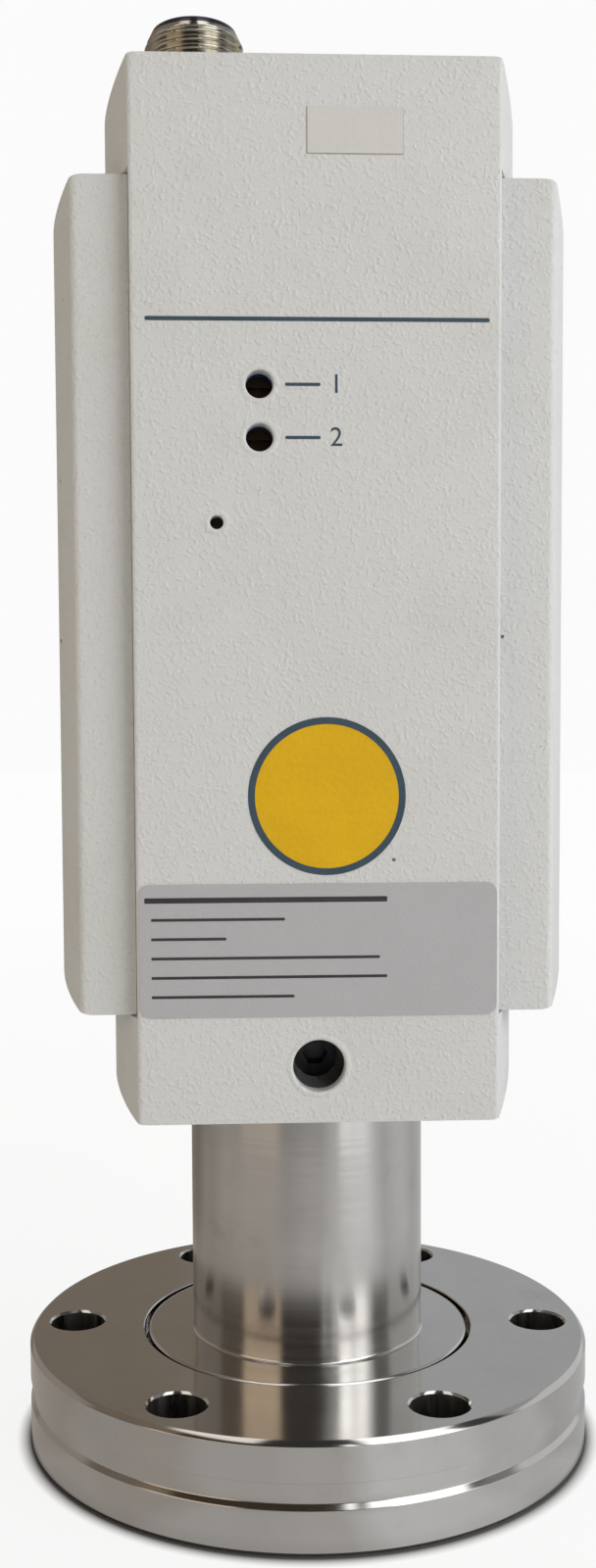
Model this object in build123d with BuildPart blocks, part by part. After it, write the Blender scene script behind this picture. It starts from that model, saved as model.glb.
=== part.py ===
from build123d import *
from math import radians, tan
import os

# Hot cathode ionization gauge on a rotatable knife-edge flange.
# Millimetres. Origin at the centre of the flange's sealing face, +Z towards the
# electronics unit, front panel facing -Y.

os.makedirs("parts", exist_ok=True)

# Flange ring
flange_od = 69.9
flange_t = 12.7
bolt_pcd = 58.7
bolt_count = 6
bolt_hole_d = 6.7
bolt_hole_chamfer = 0.25
ring_turn = -3.1
rim_chamfer = 0.5
rim_groove_low = 5.2
rim_groove_high = 8.1
rim_groove_depth = 0.5

# Welded insert inside the ring
knife_d = 41.9
knife_tip_z = 0.66
knife_slope = 20
gasket_recess_d = 48.3
inner_floor_z = 2.2
lip_d = 50.2
lip_h = 5.4
collar_d = 40.4
collar_gap = 0.5
turning_gap = 0.3
socket_floor_z = 6.0
weld_leg = 0.7

# Wire ring that keeps the flange ring on the insert
wire_d = 1.6
wire_z = 9.2
wire_seat_r = 19.6
wire_opening = 14
wire_seat_gap = 0.05

# Sensor tube
tube_od = 29.0
tube_wall = 1.5
tube_top_z = 62.5
clamp_groove_depth = 0.4
clamp_groove_w = 5.6

# Screen in the port
screen_z = 23.0
screen_t = 0.5
screen_hole_d = 2.6
screen_rings = ((6, 4.3), (12, 8.8))
screen_ring_w = 0.8
screen_ring_h = 0.9
port_fit = 0.05

# Header and its glass seals
header_z = 58.0
header_t = 3.0
pin_top_z = 69.5
pin_d = 1.0
bead_d = 2.4

# Electrodes
grid_r = 5.5
grid_wire_d = 0.4
grid_pitch = 2.2
grid_turns = 8
grid_low_z = 30.0
filament_offset = 8.8
filament_half_w = 3.5
filament_low_z = 32.0
filament_top_z = 46.0
filament_wire_d = 0.4
filament_bend_r = 2.8
collector_wire_d = 0.5
collector_low_z = 31.0
collector_bead_d = 3.4
pirani_x = 9.7
pirani_half_gap = 1.1
pirani_pin_d = 0.8
pirani_bead_d = 1.9
pirani_cell_od = 4.6
pirani_cell_wall = 0.4
pirani_cell_l = 16.0
pirani_wire_d = 0.25
pirani_wire_top = 50.0
pirani_wire_low = 44.5

# Housing column
housing_low_z = 44.6
housing_h = 114.4
panel_w = 39.8
column_w = 45.8
housing_depth = 51.0
column_side_depth = 31.0
wall = 2.0
column_corner_r = 4.0
panel_edge_r = 0.6
shell_split_gap = 0.1

# Side covers
cover_foot = 11.9
cover_head = 11.8
cover_w = 57.5
cover_face_w = 52.4
cover_face_setback = 2.2
cover_wall = 1.8
cover_edge_r = 0.9
cover_corner_r = 4.0
cover_gap = 0.15

# Openings in the front panel
key_hole_d = 5.8
key_hole_h = 6.3
setpoint_x = -6.15
setpoint_drop = 34.3
setpoint_gap = 5.6
setpoint_hole_d = 3.0
button_x = -10.8
button_drop = 48.9
button_hole_d = 1.5
hole_edge = 0.3

# End plates
plate_fit = 0.15
plate_inset = 0.6
base_plate_t = 2.0
tube_clearance = 0.3
top_plate_t = 2.5

# Clamp
clamp_od = 38.6
clamp_h = 10.0
clamp_fit = 0.1
set_screw_d = 5.0
set_screw_l = 4.0
set_screw_fit = 0.05
set_screw_af = 2.5
base_screw_r = 17.2
base_screw_d = 2.5
base_screw_head_d = 4.6
base_screw_l = 8.5

# Sensor socket
spacer_od = 36.0
spacer_wall = 2.5
socket_below_board = 2.0
board_t = 1.6
socket_od = 2.0
socket_fit = 0.05
socket_l = 5.5
sensor_link_w = 12.0
sensor_link_h = 8.0

# Boards
board_half_w = 18.6
board_foot_gap = 2.0
board_head_gap = 5.7
main_board_y = 10.0
power_board_y = -5.6
adjust_board_gap = 4.4
adjust_board_w = 30.0
adjust_board_h = 30.0
adjust_board_drop = 25.0
stack_x = 15.8
stack_inset = 4.7
stack_screw_d = 3.0
stack_hole_d = 3.2
stack_head_d = 5.8
spacer_d = 5.0
boss_d = 6.5
tapped_depth = 7.4
screw_tip_gap = 0.5
tapped_fit = 0.02
link_t = 2.5
link_w = 20.0
transformer_share = 0.52
transformer_w = 15.0
transformer_h = 16.0
transformer_d = 11.0
bobbin_w = 19.0
bobbin_h = 9.0
capacitor_share = 0.26
capacitor_d = 8.0
capacitor_h = 11.0
capacitor_pitch = 9.6

# Trimmers and push button
trimmer_w = 4.6
trimmer_t = 2.6
rotor_d = 2.9
rotor_setback = 1.2
rotor_l = 2.4
rotor_fit = 0.08
rotor_end_gap = 0.3
rotor_slot_w = 0.5
rotor_slot_depth = 0.6
switch_w = 4.5
switch_t = 2.2
button_d = 2.0
button_l = 2.0
button_travel = 0.25
button_fit = 0.08

# Round field connector on the top
m12_x = -13.0
m12_y = -0.5
m12_d = 12.0
m12_above = 13.3
m12_rim_step = 1.0
m12_rim_cone_h = 2.0
m12_flange_overhang = 1.0
m12_flange_h = 2.6
m12_wall = 1.6
m12_socket_depth = 8.0
m12_below = 6.9
m12_pin_d = 1.0
m12_pin_circle_r = 2.5
m12_pin_recess = 1.5
m12_key_w = 1.2
m12_nut_t = 2.9
m12_seal_d = 0.6
panel_hole_fit = 0.1
insert_fit = 0.05

# Fifteen-pole connector on the top
dsub_y = 13.5
dsub_flange_w = 39.2
dsub_flange_d = 12.5
dsub_flange_t = 0.8
dsub_flange_r = 2.0
dsub_shell_w = 25.2
dsub_shell_d = 8.4
dsub_shell_h = 5.8
dsub_shell_wall = 0.4
dsub_slope = 10
dsub_corner_r = 2.0
dsub_floor_h = 1.0
dsub_rear_h = 6.2
dsub_screw_spacing = 33.3
dsub_pitch = 2.77
dsub_row_gap = 2.84
dsub_pin_d = 1.0
dsub_pin_h = 4.9
dsub_rows = ((8, 1), (7, -1))
jack_af = 5.0
jack_h = 5.0
jack_thread_d = 2.84
jack_hole_d = 2.3

# Labels
label_t = 0.12
label_w = 39.2
label_foot = 11.85
label_h = 14.65
label_r = 1.2
sticker_x = 4.2
sticker_drop = 7.8
sticker_w = 10.2
sticker_h = 4.8
sticker_t = 0.08

# Values that follow from the ones above
flange_r = flange_od / 2
collar_r = collar_d / 2
ring_bore_r = collar_r + collar_gap
lip_r = lip_d / 2
tube_r = tube_od / 2
tube_bore_r = tube_r - tube_wall
front_y = -housing_depth / 2
rear_y = housing_depth / 2
front_wall_y = front_y + wall
rear_wall_y = rear_y - wall
housing_top_z = housing_low_z + housing_h
housing_mid_z = housing_low_z + housing_h / 2
cover_low_z = housing_low_z + cover_foot
cover_h = housing_h - cover_foot - cover_head
cover_mid_z = cover_low_z + cover_h / 2
top_face_z = housing_top_z - plate_inset
top_plate_z = top_face_z - top_plate_t
base_plate_z = housing_low_z + plate_inset
key_hole_z = housing_low_z + key_hole_h
setpoint_a_z = housing_top_z - setpoint_drop
setpoint_b_z = setpoint_a_z - setpoint_gap
button_z = housing_top_z - button_drop
clamp_low_z = base_plate_z + base_plate_t
clamp_top_z = clamp_low_z + clamp_h
clamp_groove_r = tube_r - clamp_groove_depth
side_knee_y = column_side_depth / 2
socket_low_z = pin_top_z - socket_l
socket_board_z = socket_low_z + socket_below_board
board_low_z = pin_top_z + board_foot_gap
board_top_z = top_plate_z - board_head_gap
board_h = board_top_z - board_low_z
stack_z = (board_low_z + stack_inset, board_top_z - stack_inset)
main_board_rear = main_board_y + board_t
power_board_rear = power_board_y + board_t
adjust_board_y = front_wall_y + adjust_board_gap
adjust_board_rear = adjust_board_y + board_t
adjust_board_z = housing_top_z - adjust_board_drop - adjust_board_h / 2
rotor_face_y = front_wall_y + rotor_setback
m12_bore_d = m12_d - 2 * m12_wall
m12_flange_d = m12_d + 2 * m12_flange_overhang
m12_top_z = top_face_z + m12_above
m12_low_z = top_face_z - m12_below
label_z = housing_low_z + label_foot + label_h / 2
sticker_z = housing_top_z - sticker_drop
grid_post_r = grid_r + grid_wire_d / 2 + pin_d / 2
stack_points = [(x, z) for x in (-stack_x, stack_x) for z in stack_z]
filament_points = [(x, y) for x in (-filament_half_w, filament_half_w) for y in (-filament_offset, filament_offset)]
grid_points = [(-grid_post_r, 0), (grid_post_r, 0)]
pirani_points = [(pirani_x, -pirani_half_gap), (pirani_x, pirani_half_gap)]
bead_points = filament_points + grid_points
m12_pin_points = [(m12_x, m12_y)] + [
    (m12_x + m12_pin_circle_r * sx, m12_y + m12_pin_circle_r * sy)
    for sx, sy in ((0.71, 0.71), (-0.71, 0.71), (-0.71, -0.71), (0.71, -0.71))
]


# Flat plane facing the front at a given depth, with X to the right and Z up
def facing_front(y):
    return Plane(origin=(0, y, 0), x_dir=(1, 0, 0), z_dir=(0, -1, 0))


# Plan of the column: flat front and rear, sloped corners, straight sides
def column_plan():
    half = panel_w / 2
    side = column_w / 2
    return [
        (-half, front_y), (half, front_y), (side, -side_knee_y), (side, side_knee_y),
        (half, rear_y), (-half, rear_y), (-side, side_knee_y), (-side, -side_knee_y),
    ]


# Flange ring: turned profile with a shallow rim groove, then the bolt circle
with BuildPart() as flange_ring:
    with BuildSketch(Plane.XZ):
        with BuildLine():
            Polyline(
                (lip_r + turning_gap, 0),
                (flange_r - rim_chamfer, 0),
                (flange_r, rim_chamfer),
                (flange_r, rim_groove_low),
                (flange_r - rim_groove_depth, rim_groove_low + rim_groove_depth),
                (flange_r - rim_groove_depth, rim_groove_high),
                (flange_r, rim_groove_high),
                (flange_r, flange_t - rim_chamfer),
                (flange_r - rim_chamfer, flange_t),
                (ring_bore_r, flange_t),
                (ring_bore_r, lip_h + turning_gap),
                (lip_r + turning_gap, lip_h + turning_gap),
                close=True,
            )
        make_face()
        groove_out_r = wire_seat_r + wire_d + turning_gap
        with Locations(((ring_bore_r + groove_out_r) / 2, wire_z)):
            Rectangle(groove_out_r - ring_bore_r, wire_d + 2 * turning_gap, mode=Mode.SUBTRACT)
    revolve(axis=Axis.Z)
    with Locations(Plane.XY.rotated((0, 0, ring_turn))):
        with PolarLocations(bolt_pcd / 2, bolt_count):
            Cylinder(bolt_hole_d / 2, flange_t, align=(Align.CENTER, Align.CENTER, Align.MIN), mode=Mode.SUBTRACT)
    hole_rims = flange_ring.edges().filter_by(GeomType.CIRCLE)
    hole_rims = hole_rims.filter_by(lambda e: abs(e.radius - bolt_hole_d / 2) < 0.01)
    chamfer(hole_rims, bolt_hole_chamfer)
flange_ring.part.label = "flange_ring"
export_step(flange_ring.part, "parts/flange_ring.step")

# Insert with the knife edge, the gasket recess and the socket for the tube
knife_r = knife_d / 2
recess_r = gasket_recess_d / 2
recess_floor_z = knife_tip_z + (recess_r - knife_r) * tan(radians(knife_slope))
with BuildPart() as flange_insert:
    with BuildSketch(Plane.XZ):
        with BuildLine():
            Polyline(
                (tube_r, flange_t + weld_leg),
                (tube_r, socket_floor_z),
                (tube_bore_r, socket_floor_z),
                (tube_bore_r, inner_floor_z),
                (knife_r, inner_floor_z),
                (knife_r, knife_tip_z),
                (recess_r, recess_floor_z),
                (recess_r, 0),
                (lip_r, 0),
                (lip_r, lip_h),
                (collar_r, lip_h),
                (collar_r, flange_t - rim_chamfer / 2),
                (collar_r - rim_chamfer / 2, flange_t),
                (tube_r + weld_leg, flange_t),
            )
            RadiusArc((tube_r + weld_leg, flange_t), (tube_r, flange_t + weld_leg), -weld_leg)
        make_face()
        seat_floor = wire_seat_r - wire_seat_gap
        with Locations(((seat_floor + collar_r) / 2, wire_z)):
            Rectangle(collar_r - seat_floor, wire_d + 2 * wire_seat_gap, mode=Mode.SUBTRACT)
    revolve(axis=Axis.Z)
flange_insert.part.label = "flange_insert"
export_step(flange_insert.part, "parts/flange_insert.step")

# Open wire ring, half in the insert's groove and half in the flange ring's
with BuildPart() as retaining_wire:
    with BuildSketch(Plane.XZ):
        with Locations((wire_seat_r + wire_d / 2, wire_z)):
            Circle(wire_d / 2)
    revolve(axis=Axis.Z, revolution_arc=360 - wire_opening)
retaining_wire.part.label = "retaining_wire"
export_step(retaining_wire.part, "parts/retaining_wire.step")

# Sensor tube with the shallow groove that the clamp screw seats in
with BuildPart() as sensor_tube:
    with BuildSketch(Plane.XY.offset(socket_floor_z)):
        Circle(tube_r)
        Circle(tube_bore_r, mode=Mode.SUBTRACT)
    extrude(amount=tube_top_z - socket_floor_z)
    with BuildSketch(Plane.XZ):
        with Locations((tube_r - clamp_groove_depth / 2, key_hole_z)):
            Rectangle(clamp_groove_depth, clamp_groove_w)
    revolve(axis=Axis.Z, mode=Mode.SUBTRACT)
sensor_tube.part.label = "sensor_tube"
export_step(sensor_tube.part, "parts/sensor_tube.step")

# Perforated screen across the port
with BuildPart() as inlet_screen:
    with BuildSketch(Plane.XY.offset(screen_z)):
        Circle(tube_bore_r - port_fit)
        Circle(screen_hole_d / 2, mode=Mode.SUBTRACT)
        for count, radius in screen_rings:
            with PolarLocations(radius, count):
                Circle(screen_hole_d / 2, mode=Mode.SUBTRACT)
    extrude(amount=screen_t)
inlet_screen.part.label = "inlet_screen"
export_step(inlet_screen.part, "parts/inlet_screen.step")

# Spring ring under the screen
with BuildPart() as screen_ring:
    with BuildSketch(Plane.XY.offset(screen_z - screen_ring_h)):
        Circle(tube_bore_r - port_fit)
        Circle(tube_bore_r - port_fit - screen_ring_w, mode=Mode.SUBTRACT)
        with Locations((0, tube_bore_r)):
            Rectangle(3 * screen_ring_w, 3 * screen_ring_w, mode=Mode.SUBTRACT)
    extrude(amount=screen_ring_h)
screen_ring.part.label = "screen_ring"
export_step(screen_ring.part, "parts/screen_ring.step")

# Header disc with a seat for every glass bead
with BuildPart() as header_disc:
    with BuildSketch(Plane.XY.offset(header_z)):
        Circle(tube_bore_r)
        Circle(collector_bead_d / 2, mode=Mode.SUBTRACT)
        with Locations(*bead_points):
            Circle(bead_d / 2, mode=Mode.SUBTRACT)
        with Locations(*pirani_points):
            Circle(pirani_bead_d / 2, mode=Mode.SUBTRACT)
    extrude(amount=header_t)
header_disc.part.label = "header_disc"
export_step(header_disc.part, "parts/header_disc.step")

# Glass beads that seal the pins into the header
with BuildPart() as glass_beads:
    with BuildSketch(Plane.XY.offset(header_z)):
        Circle(collector_bead_d / 2)
        with Locations(*bead_points):
            Circle(bead_d / 2)
        with Locations(*pirani_points):
            Circle(pirani_bead_d / 2)
        with Locations((0, 0), *bead_points):
            Circle(pin_d / 2, mode=Mode.SUBTRACT)
        with Locations(*pirani_points):
            Circle(pirani_pin_d / 2, mode=Mode.SUBTRACT)
    extrude(amount=header_t)
glass_beads.part.label = "glass_beads"
export_step(glass_beads.part, "parts/glass_beads.step")

# Anode grid: one wire wound as a helix
with BuildPart() as anode_grid:
    with BuildLine():
        grid_path = Helix(grid_pitch, grid_pitch * grid_turns, grid_r, center=(0, 0, grid_low_z))
    with BuildSketch(Plane(origin=grid_path @ 0, z_dir=grid_path % 0)):
        Circle(grid_wire_d / 2)
    sweep(path=grid_path, is_frenet=True)
anode_grid.part.label = "anode_grid"
export_step(anode_grid.part, "parts/anode_grid.step")

# Two posts that carry the grid and pass through the header
with BuildPart() as grid_posts:
    with BuildSketch(Plane.XY.offset(grid_low_z - grid_wire_d)):
        with Locations(*grid_points):
            Circle(pin_d / 2)
    extrude(amount=pin_top_z - grid_low_z + grid_wire_d)
grid_posts.part.label = "grid_posts"
export_step(grid_posts.part, "parts/grid_posts.step")

# Four posts that carry the two filaments
with BuildPart() as filament_posts:
    with BuildSketch(Plane.XY.offset(filament_top_z)):
        with Locations(*filament_points):
            Circle(pin_d / 2)
    extrude(amount=pin_top_z - filament_top_z)
filament_posts.part.label = "filament_posts"
export_step(filament_posts.part, "parts/filament_posts.step")

# Two filaments, each a wire loop hanging from its pair of posts
for node, y in (("filament_1", -filament_offset), ("filament_2", filament_offset)):
    with BuildPart() as filament:
        with BuildLine():
            loop = FilletPolyline(
                (-filament_half_w, y, filament_top_z),
                (-filament_half_w, y, filament_low_z),
                (filament_half_w, y, filament_low_z),
                (filament_half_w, y, filament_top_z),
                radius=filament_bend_r,
            )
        with BuildSketch(Plane(origin=loop @ 0, z_dir=loop % 0)):
            Circle(filament_wire_d / 2)
        sweep(path=loop)
    filament.part.label = node
    export_step(filament.part, f"parts/{node}.step")

# Ion collector: a thin wire on the axis, thicker where it passes the header
with BuildPart() as ion_collector:
    with BuildSketch(Plane.XY.offset(collector_low_z)):
        Circle(collector_wire_d / 2)
    extrude(amount=header_z - collector_low_z)
    with BuildSketch(Plane.XY.offset(header_z)):
        Circle(pin_d / 2)
    extrude(amount=pin_top_z - header_z)
ion_collector.part.label = "ion_collector"
export_step(ion_collector.part, "parts/ion_collector.step")

# Pirani cell: a thin cup under the header, open through its floor
with BuildPart() as pirani_cell:
    with BuildSketch(Plane.XY.offset(header_z - pirani_cell_l)):
        with Locations((pirani_x, 0)):
            Circle(pirani_cell_od / 2)
            Circle(pirani_cell_od / 4, mode=Mode.SUBTRACT)
    extrude(amount=pirani_cell_l)
    with BuildSketch(Plane.XY.offset(header_z - pirani_cell_l + pirani_cell_wall)):
        with Locations((pirani_x, 0)):
            Circle(pirani_cell_od / 2 - pirani_cell_wall)
    extrude(amount=pirani_cell_l - pirani_cell_wall, mode=Mode.SUBTRACT)
pirani_cell.part.label = "pirani_cell"
export_step(pirani_cell.part, "parts/pirani_cell.step")

# Pirani element: two pins and the fine wire between them
with BuildPart() as pirani_element:
    with BuildSketch(Plane.XY.offset(pirani_wire_top)):
        with Locations(*pirani_points):
            Circle(pirani_pin_d / 2)
    extrude(amount=pin_top_z - pirani_wire_top)
    with BuildLine():
        fine = FilletPolyline(
            (pirani_x, -pirani_half_gap, pirani_wire_top + pirani_wire_d),
            (pirani_x, -pirani_half_gap, pirani_wire_low),
            (pirani_x, pirani_half_gap, pirani_wire_low),
            (pirani_x, pirani_half_gap, pirani_wire_top + pirani_wire_d),
            radius=pirani_half_gap * 0.8,
        )
    with BuildSketch(Plane(origin=fine @ 0, z_dir=fine % 0)):
        Circle(pirani_wire_d / 2)
    sweep(path=fine)
pirani_element.part.label = "pirani_element"
export_step(pirani_element.part, "parts/pirani_element.step")

# Clamp ring round the tube, with the tapped hole for its set screw
with BuildPart() as clamp_collar:
    with BuildSketch(Plane.XY.offset(clamp_low_z)):
        Circle(clamp_od / 2)
        Circle(tube_r + clamp_fit, mode=Mode.SUBTRACT)
        with Locations((-base_screw_r, 0), (base_screw_r, 0)):
            Circle(base_screw_d / 2, mode=Mode.SUBTRACT)
    extrude(amount=clamp_h)
    with BuildSketch(facing_front(-clamp_od / 2 - 1)):
        with Locations((0, key_hole_z)):
            Circle(set_screw_d / 2)
    extrude(amount=-(clamp_od / 2 - tube_r + 2), mode=Mode.SUBTRACT)
clamp_collar.part.label = "clamp_collar"
export_step(clamp_collar.part, "parts/clamp_collar.step")

# Set screw with a hexagon socket
set_screw_face_y = -clamp_groove_r - set_screw_l
with BuildPart() as clamp_screw:
    with BuildSketch(facing_front(set_screw_face_y)):
        with Locations((0, key_hole_z)):
            Circle(set_screw_d / 2 - set_screw_fit)
    extrude(amount=-set_screw_l)
    with BuildSketch(facing_front(set_screw_face_y)):
        with Locations((0, key_hole_z)):
            RegularPolygon(set_screw_af / 2, 6, major_radius=False)
    extrude(amount=-set_screw_l / 2, mode=Mode.SUBTRACT)
clamp_screw.part.label = "clamp_screw"
export_step(clamp_screw.part, "parts/clamp_screw.step")

# Base plate that closes the bottom of the housing round the tube
with BuildPart() as base_plate:
    with BuildSketch(Plane.XY.offset(base_plate_z)):
        with BuildLine():
            Polyline(column_plan(), close=True)
        make_face()
        offset(amount=-wall - plate_fit, kind=Kind.INTERSECTION)
        Circle(tube_r + tube_clearance, mode=Mode.SUBTRACT)
    extrude(amount=base_plate_t)
    with Locations(Plane(origin=(0, 0, base_plate_z), x_dir=(1, 0, 0), z_dir=(0, 0, -1))):
        with Locations((-base_screw_r, 0), (base_screw_r, 0)):
            CounterSinkHole(base_screw_d / 2, base_screw_head_d / 2, base_plate_t, 90)
base_plate.part.label = "base_plate"
export_step(base_plate.part, "parts/base_plate.step")

# Two countersunk screws that hold the base plate to the clamp ring
with BuildPart() as base_screws:
    for x in (-base_screw_r, base_screw_r):
        with BuildSketch(Plane.XZ):
            with BuildLine():
                Polyline(
                    (x, base_plate_z),
                    (x + base_screw_head_d / 2, base_plate_z),
                    (x + base_screw_d / 2, base_plate_z + (base_screw_head_d - base_screw_d) / 2),
                    (x + base_screw_d / 2, base_plate_z + base_screw_l),
                    (x, base_plate_z + base_screw_l),
                    close=True,
                )
            make_face()
        revolve(axis=Axis((x, 0, 0), (0, 0, 1)))
base_screws.part.label = "base_screws"
export_step(base_screws.part, "parts/base_screws.step")

# Column of the housing before it is parted into a front and a rear shell
with BuildPart() as column_tube:
    with BuildSketch(Plane.XY.offset(housing_low_z)):
        with BuildLine():
            Polyline(column_plan(), close=True)
        make_face()
    extrude(amount=housing_h)
    with BuildSketch(facing_front(0)):
        with Locations((0, housing_mid_z)):
            RectangleRounded(column_w, housing_h, column_corner_r)
    extrude(amount=housing_depth, both=True, mode=Mode.INTERSECT)
    upright = column_tube.edges().filter_by(Axis.Z).group_by(Axis.Y)
    fillet(upright[0] + upright[-1], panel_edge_r)
    with BuildSketch(Plane.XY.offset(housing_low_z)):
        with BuildLine():
            Polyline(column_plan(), close=True)
        make_face()
        offset(amount=-wall, kind=Kind.INTERSECTION)
    extrude(amount=housing_h, mode=Mode.SUBTRACT)
    window_x = (panel_w / 2 + cover_w / 2) / 2
    with BuildSketch(facing_front(0)):
        with Locations((-window_x, cover_mid_z), (window_x, cover_mid_z)):
            Rectangle(cover_w / 2 - panel_w / 2, cover_h + 2 * cover_gap)
    extrude(amount=housing_depth, both=True, mode=Mode.SUBTRACT)

# Front shell: panel with its holes, and four bosses inside for the long screws
with BuildPart() as front_shell:
    add(column_tube.part)
    split(bisect_by=Plane.XZ.offset(shell_split_gap / 2), keep=Keep.TOP)
    with BuildSketch(facing_front(power_board_y)):
        with Locations(*stack_points):
            Circle(boss_d / 2)
    extrude(amount=power_board_y - front_wall_y)
    with BuildSketch(facing_front(power_board_y)):
        with Locations(*stack_points):
            Circle(stack_screw_d / 2 + tapped_fit)
    extrude(amount=tapped_depth, mode=Mode.SUBTRACT)
    with BuildSketch(facing_front(front_y)):
        with Locations((0, key_hole_z)):
            Circle(key_hole_d / 2)
        with Locations((setpoint_x, setpoint_a_z), (setpoint_x, setpoint_b_z)):
            Circle(setpoint_hole_d / 2)
        with Locations((button_x, button_z)):
            Circle(button_hole_d / 2)
    extrude(amount=-wall, mode=Mode.SUBTRACT)
    rims = front_shell.edges().filter_by(GeomType.CIRCLE)
    rims = rims.filter_by(lambda e: abs(e.arc_center.Y - front_y) < 0.01)
    rims = rims.filter_by(lambda e: min(abs(2 * e.radius - d) for d in (key_hole_d, setpoint_hole_d)) < 0.01)
    fillet(rims, hole_edge)
front_shell.part.label = "front_shell"
export_step(front_shell.part, "parts/front_shell.step")

# Rear shell: the same column half with countersunk holes for the long screws
with BuildPart() as rear_shell:
    add(column_tube.part)
    split(bisect_by=Plane.XZ.offset(-shell_split_gap / 2), keep=Keep.BOTTOM)
    with Locations(Plane(origin=(0, rear_y, 0), x_dir=(-1, 0, 0), z_dir=(0, 1, 0))):
        with Locations(*stack_points):
            CounterSinkHole(stack_hole_d / 2, stack_head_d / 2, wall, 90)
rear_shell.part.label = "rear_shell"
export_step(rear_shell.part, "parts/rear_shell.step")

# Right side cover: a deep tray whose face lies a little behind the panel, with a sloped side
cover_face_y = housing_depth / 2 - cover_face_setback
cover_in_x = panel_w / 2 + cover_gap


# Plan of the right cover's outside, closed along a line at a given X
def cover_plan(low_x):
    return [
        (low_x, -cover_face_y), (cover_face_w / 2, -cover_face_y), (cover_w / 2, -side_knee_y),
        (cover_w / 2, side_knee_y), (cover_face_w / 2, cover_face_y), (low_x, cover_face_y),
    ]


with BuildPart() as right_cover:
    with BuildSketch(Plane.XY.offset(cover_low_z)):
        with BuildLine():
            Polyline(cover_plan(cover_in_x), close=True)
        make_face()
    extrude(amount=cover_h)
    with BuildSketch(facing_front(0)):
        with Locations((0, cover_mid_z)):
            RectangleRounded(cover_w, cover_h, cover_corner_r)
    extrude(amount=housing_depth, both=True, mode=Mode.INTERSECT)
    face_edges = right_cover.edges().filter_by(Axis.Z)
    face_edges = face_edges.filter_by(lambda e: abs(e.center().X - cover_face_w / 2) < 0.01)
    fillet(face_edges, cover_edge_r)
    with BuildSketch(Plane.XY.offset(cover_low_z + cover_wall)):
        with BuildLine():
            Polyline(cover_plan(0), close=True)
        make_face()
        offset(amount=-cover_wall, kind=Kind.INTERSECTION)
    extrude(amount=cover_h - 2 * cover_wall, mode=Mode.SUBTRACT)
right_cover.part.label = "right_cover"
export_step(right_cover.part, "parts/right_cover.step")

# Left side cover, the mirror image of the right one
with BuildPart() as left_cover:
    add(mirror(right_cover.part, about=Plane.YZ, mode=Mode.PRIVATE))
left_cover.part.label = "left_cover"
export_step(left_cover.part, "parts/left_cover.step")


# D outline of the fifteen-pole connector, grown or shrunk by an amount
def dsub_points(grow):
    half_w = dsub_shell_w / 2 + grow
    half_d = dsub_shell_d / 2 + grow
    lean = 2 * half_d * tan(radians(dsub_slope))
    return [
        (-half_w, dsub_y + half_d), (half_w, dsub_y + half_d),
        (half_w - lean, dsub_y - half_d), (-half_w + lean, dsub_y - half_d),
    ]


# Top plate with the openings for both connectors
jack_points = [(-dsub_screw_spacing / 2, dsub_y), (dsub_screw_spacing / 2, dsub_y)]
with BuildPart() as top_plate:
    with BuildSketch(Plane.XY.offset(top_plate_z)):
        with BuildLine():
            Polyline(column_plan(), close=True)
        make_face()
        offset(amount=-wall - plate_fit, kind=Kind.INTERSECTION)
        with Locations((m12_x, m12_y)):
            Circle(m12_d / 2 + panel_hole_fit, mode=Mode.SUBTRACT)
        Polygon(*dsub_points(panel_hole_fit), align=None, mode=Mode.SUBTRACT)
        with Locations(*jack_points):
            Circle(jack_thread_d / 2 + panel_hole_fit, mode=Mode.SUBTRACT)
    extrude(amount=top_plate_t)
top_plate.part.label = "top_plate"
export_step(top_plate.part, "parts/top_plate.step")

# Long housing screws, countersunk at the rear and threaded into the front bosses
screw_tip_y = power_board_y - tapped_depth + screw_tip_gap
with BuildPart() as housing_screws:
    for x, z in stack_points:
        with BuildSketch(Plane.XY.offset(z)):
            with BuildLine():
                Polyline(
                    (x, rear_y),
                    (x + stack_head_d / 2, rear_y),
                    (x + stack_screw_d / 2, rear_y - (stack_head_d - stack_screw_d) / 2),
                    (x + stack_screw_d / 2, screw_tip_y),
                    (x, screw_tip_y),
                    close=True,
                )
            make_face()
        revolve(axis=Axis((x, 0, z), (0, 1, 0)))
housing_screws.part.label = "housing_screws"
export_step(housing_screws.part, "parts/housing_screws.step")

# Tubular spacers of the board stack
for node, y_low, y_high in (
    ("mid_spacers", power_board_rear, main_board_y),
    ("rear_spacers", main_board_rear, rear_wall_y),
):
    with BuildPart() as spacers:
        with BuildSketch(facing_front(y_high)):
            with Locations(*stack_points):
                Circle(spacer_d / 2)
                Circle(stack_hole_d / 2, mode=Mode.SUBTRACT)
        extrude(amount=y_high - y_low)
    spacers.part.label = node
    export_step(spacers.part, f"parts/{node}.step")

# Power board and main board, held on the long screws
for node, y_low in (("power_board", power_board_y), ("main_board", main_board_y)):
    with BuildPart() as board:
        with BuildSketch(facing_front(y_low + board_t)):
            with Locations((0, board_low_z + board_h / 2)):
                Rectangle(2 * board_half_w, board_h)
            with Locations(*stack_points):
                Circle(stack_hole_d / 2, mode=Mode.SUBTRACT)
        extrude(amount=board_t)
    board.part.label = node
    export_step(board.part, f"parts/{node}.step")

# Small board behind the panel for the trimmers and the button
with BuildPart() as adjust_board:
    with BuildSketch(facing_front(adjust_board_rear)):
        with Locations((0, adjust_board_z)):
            Rectangle(adjust_board_w, adjust_board_h)
    extrude(amount=board_t)
adjust_board.part.label = "adjust_board"
export_step(adjust_board.part, "parts/adjust_board.step")

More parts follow.
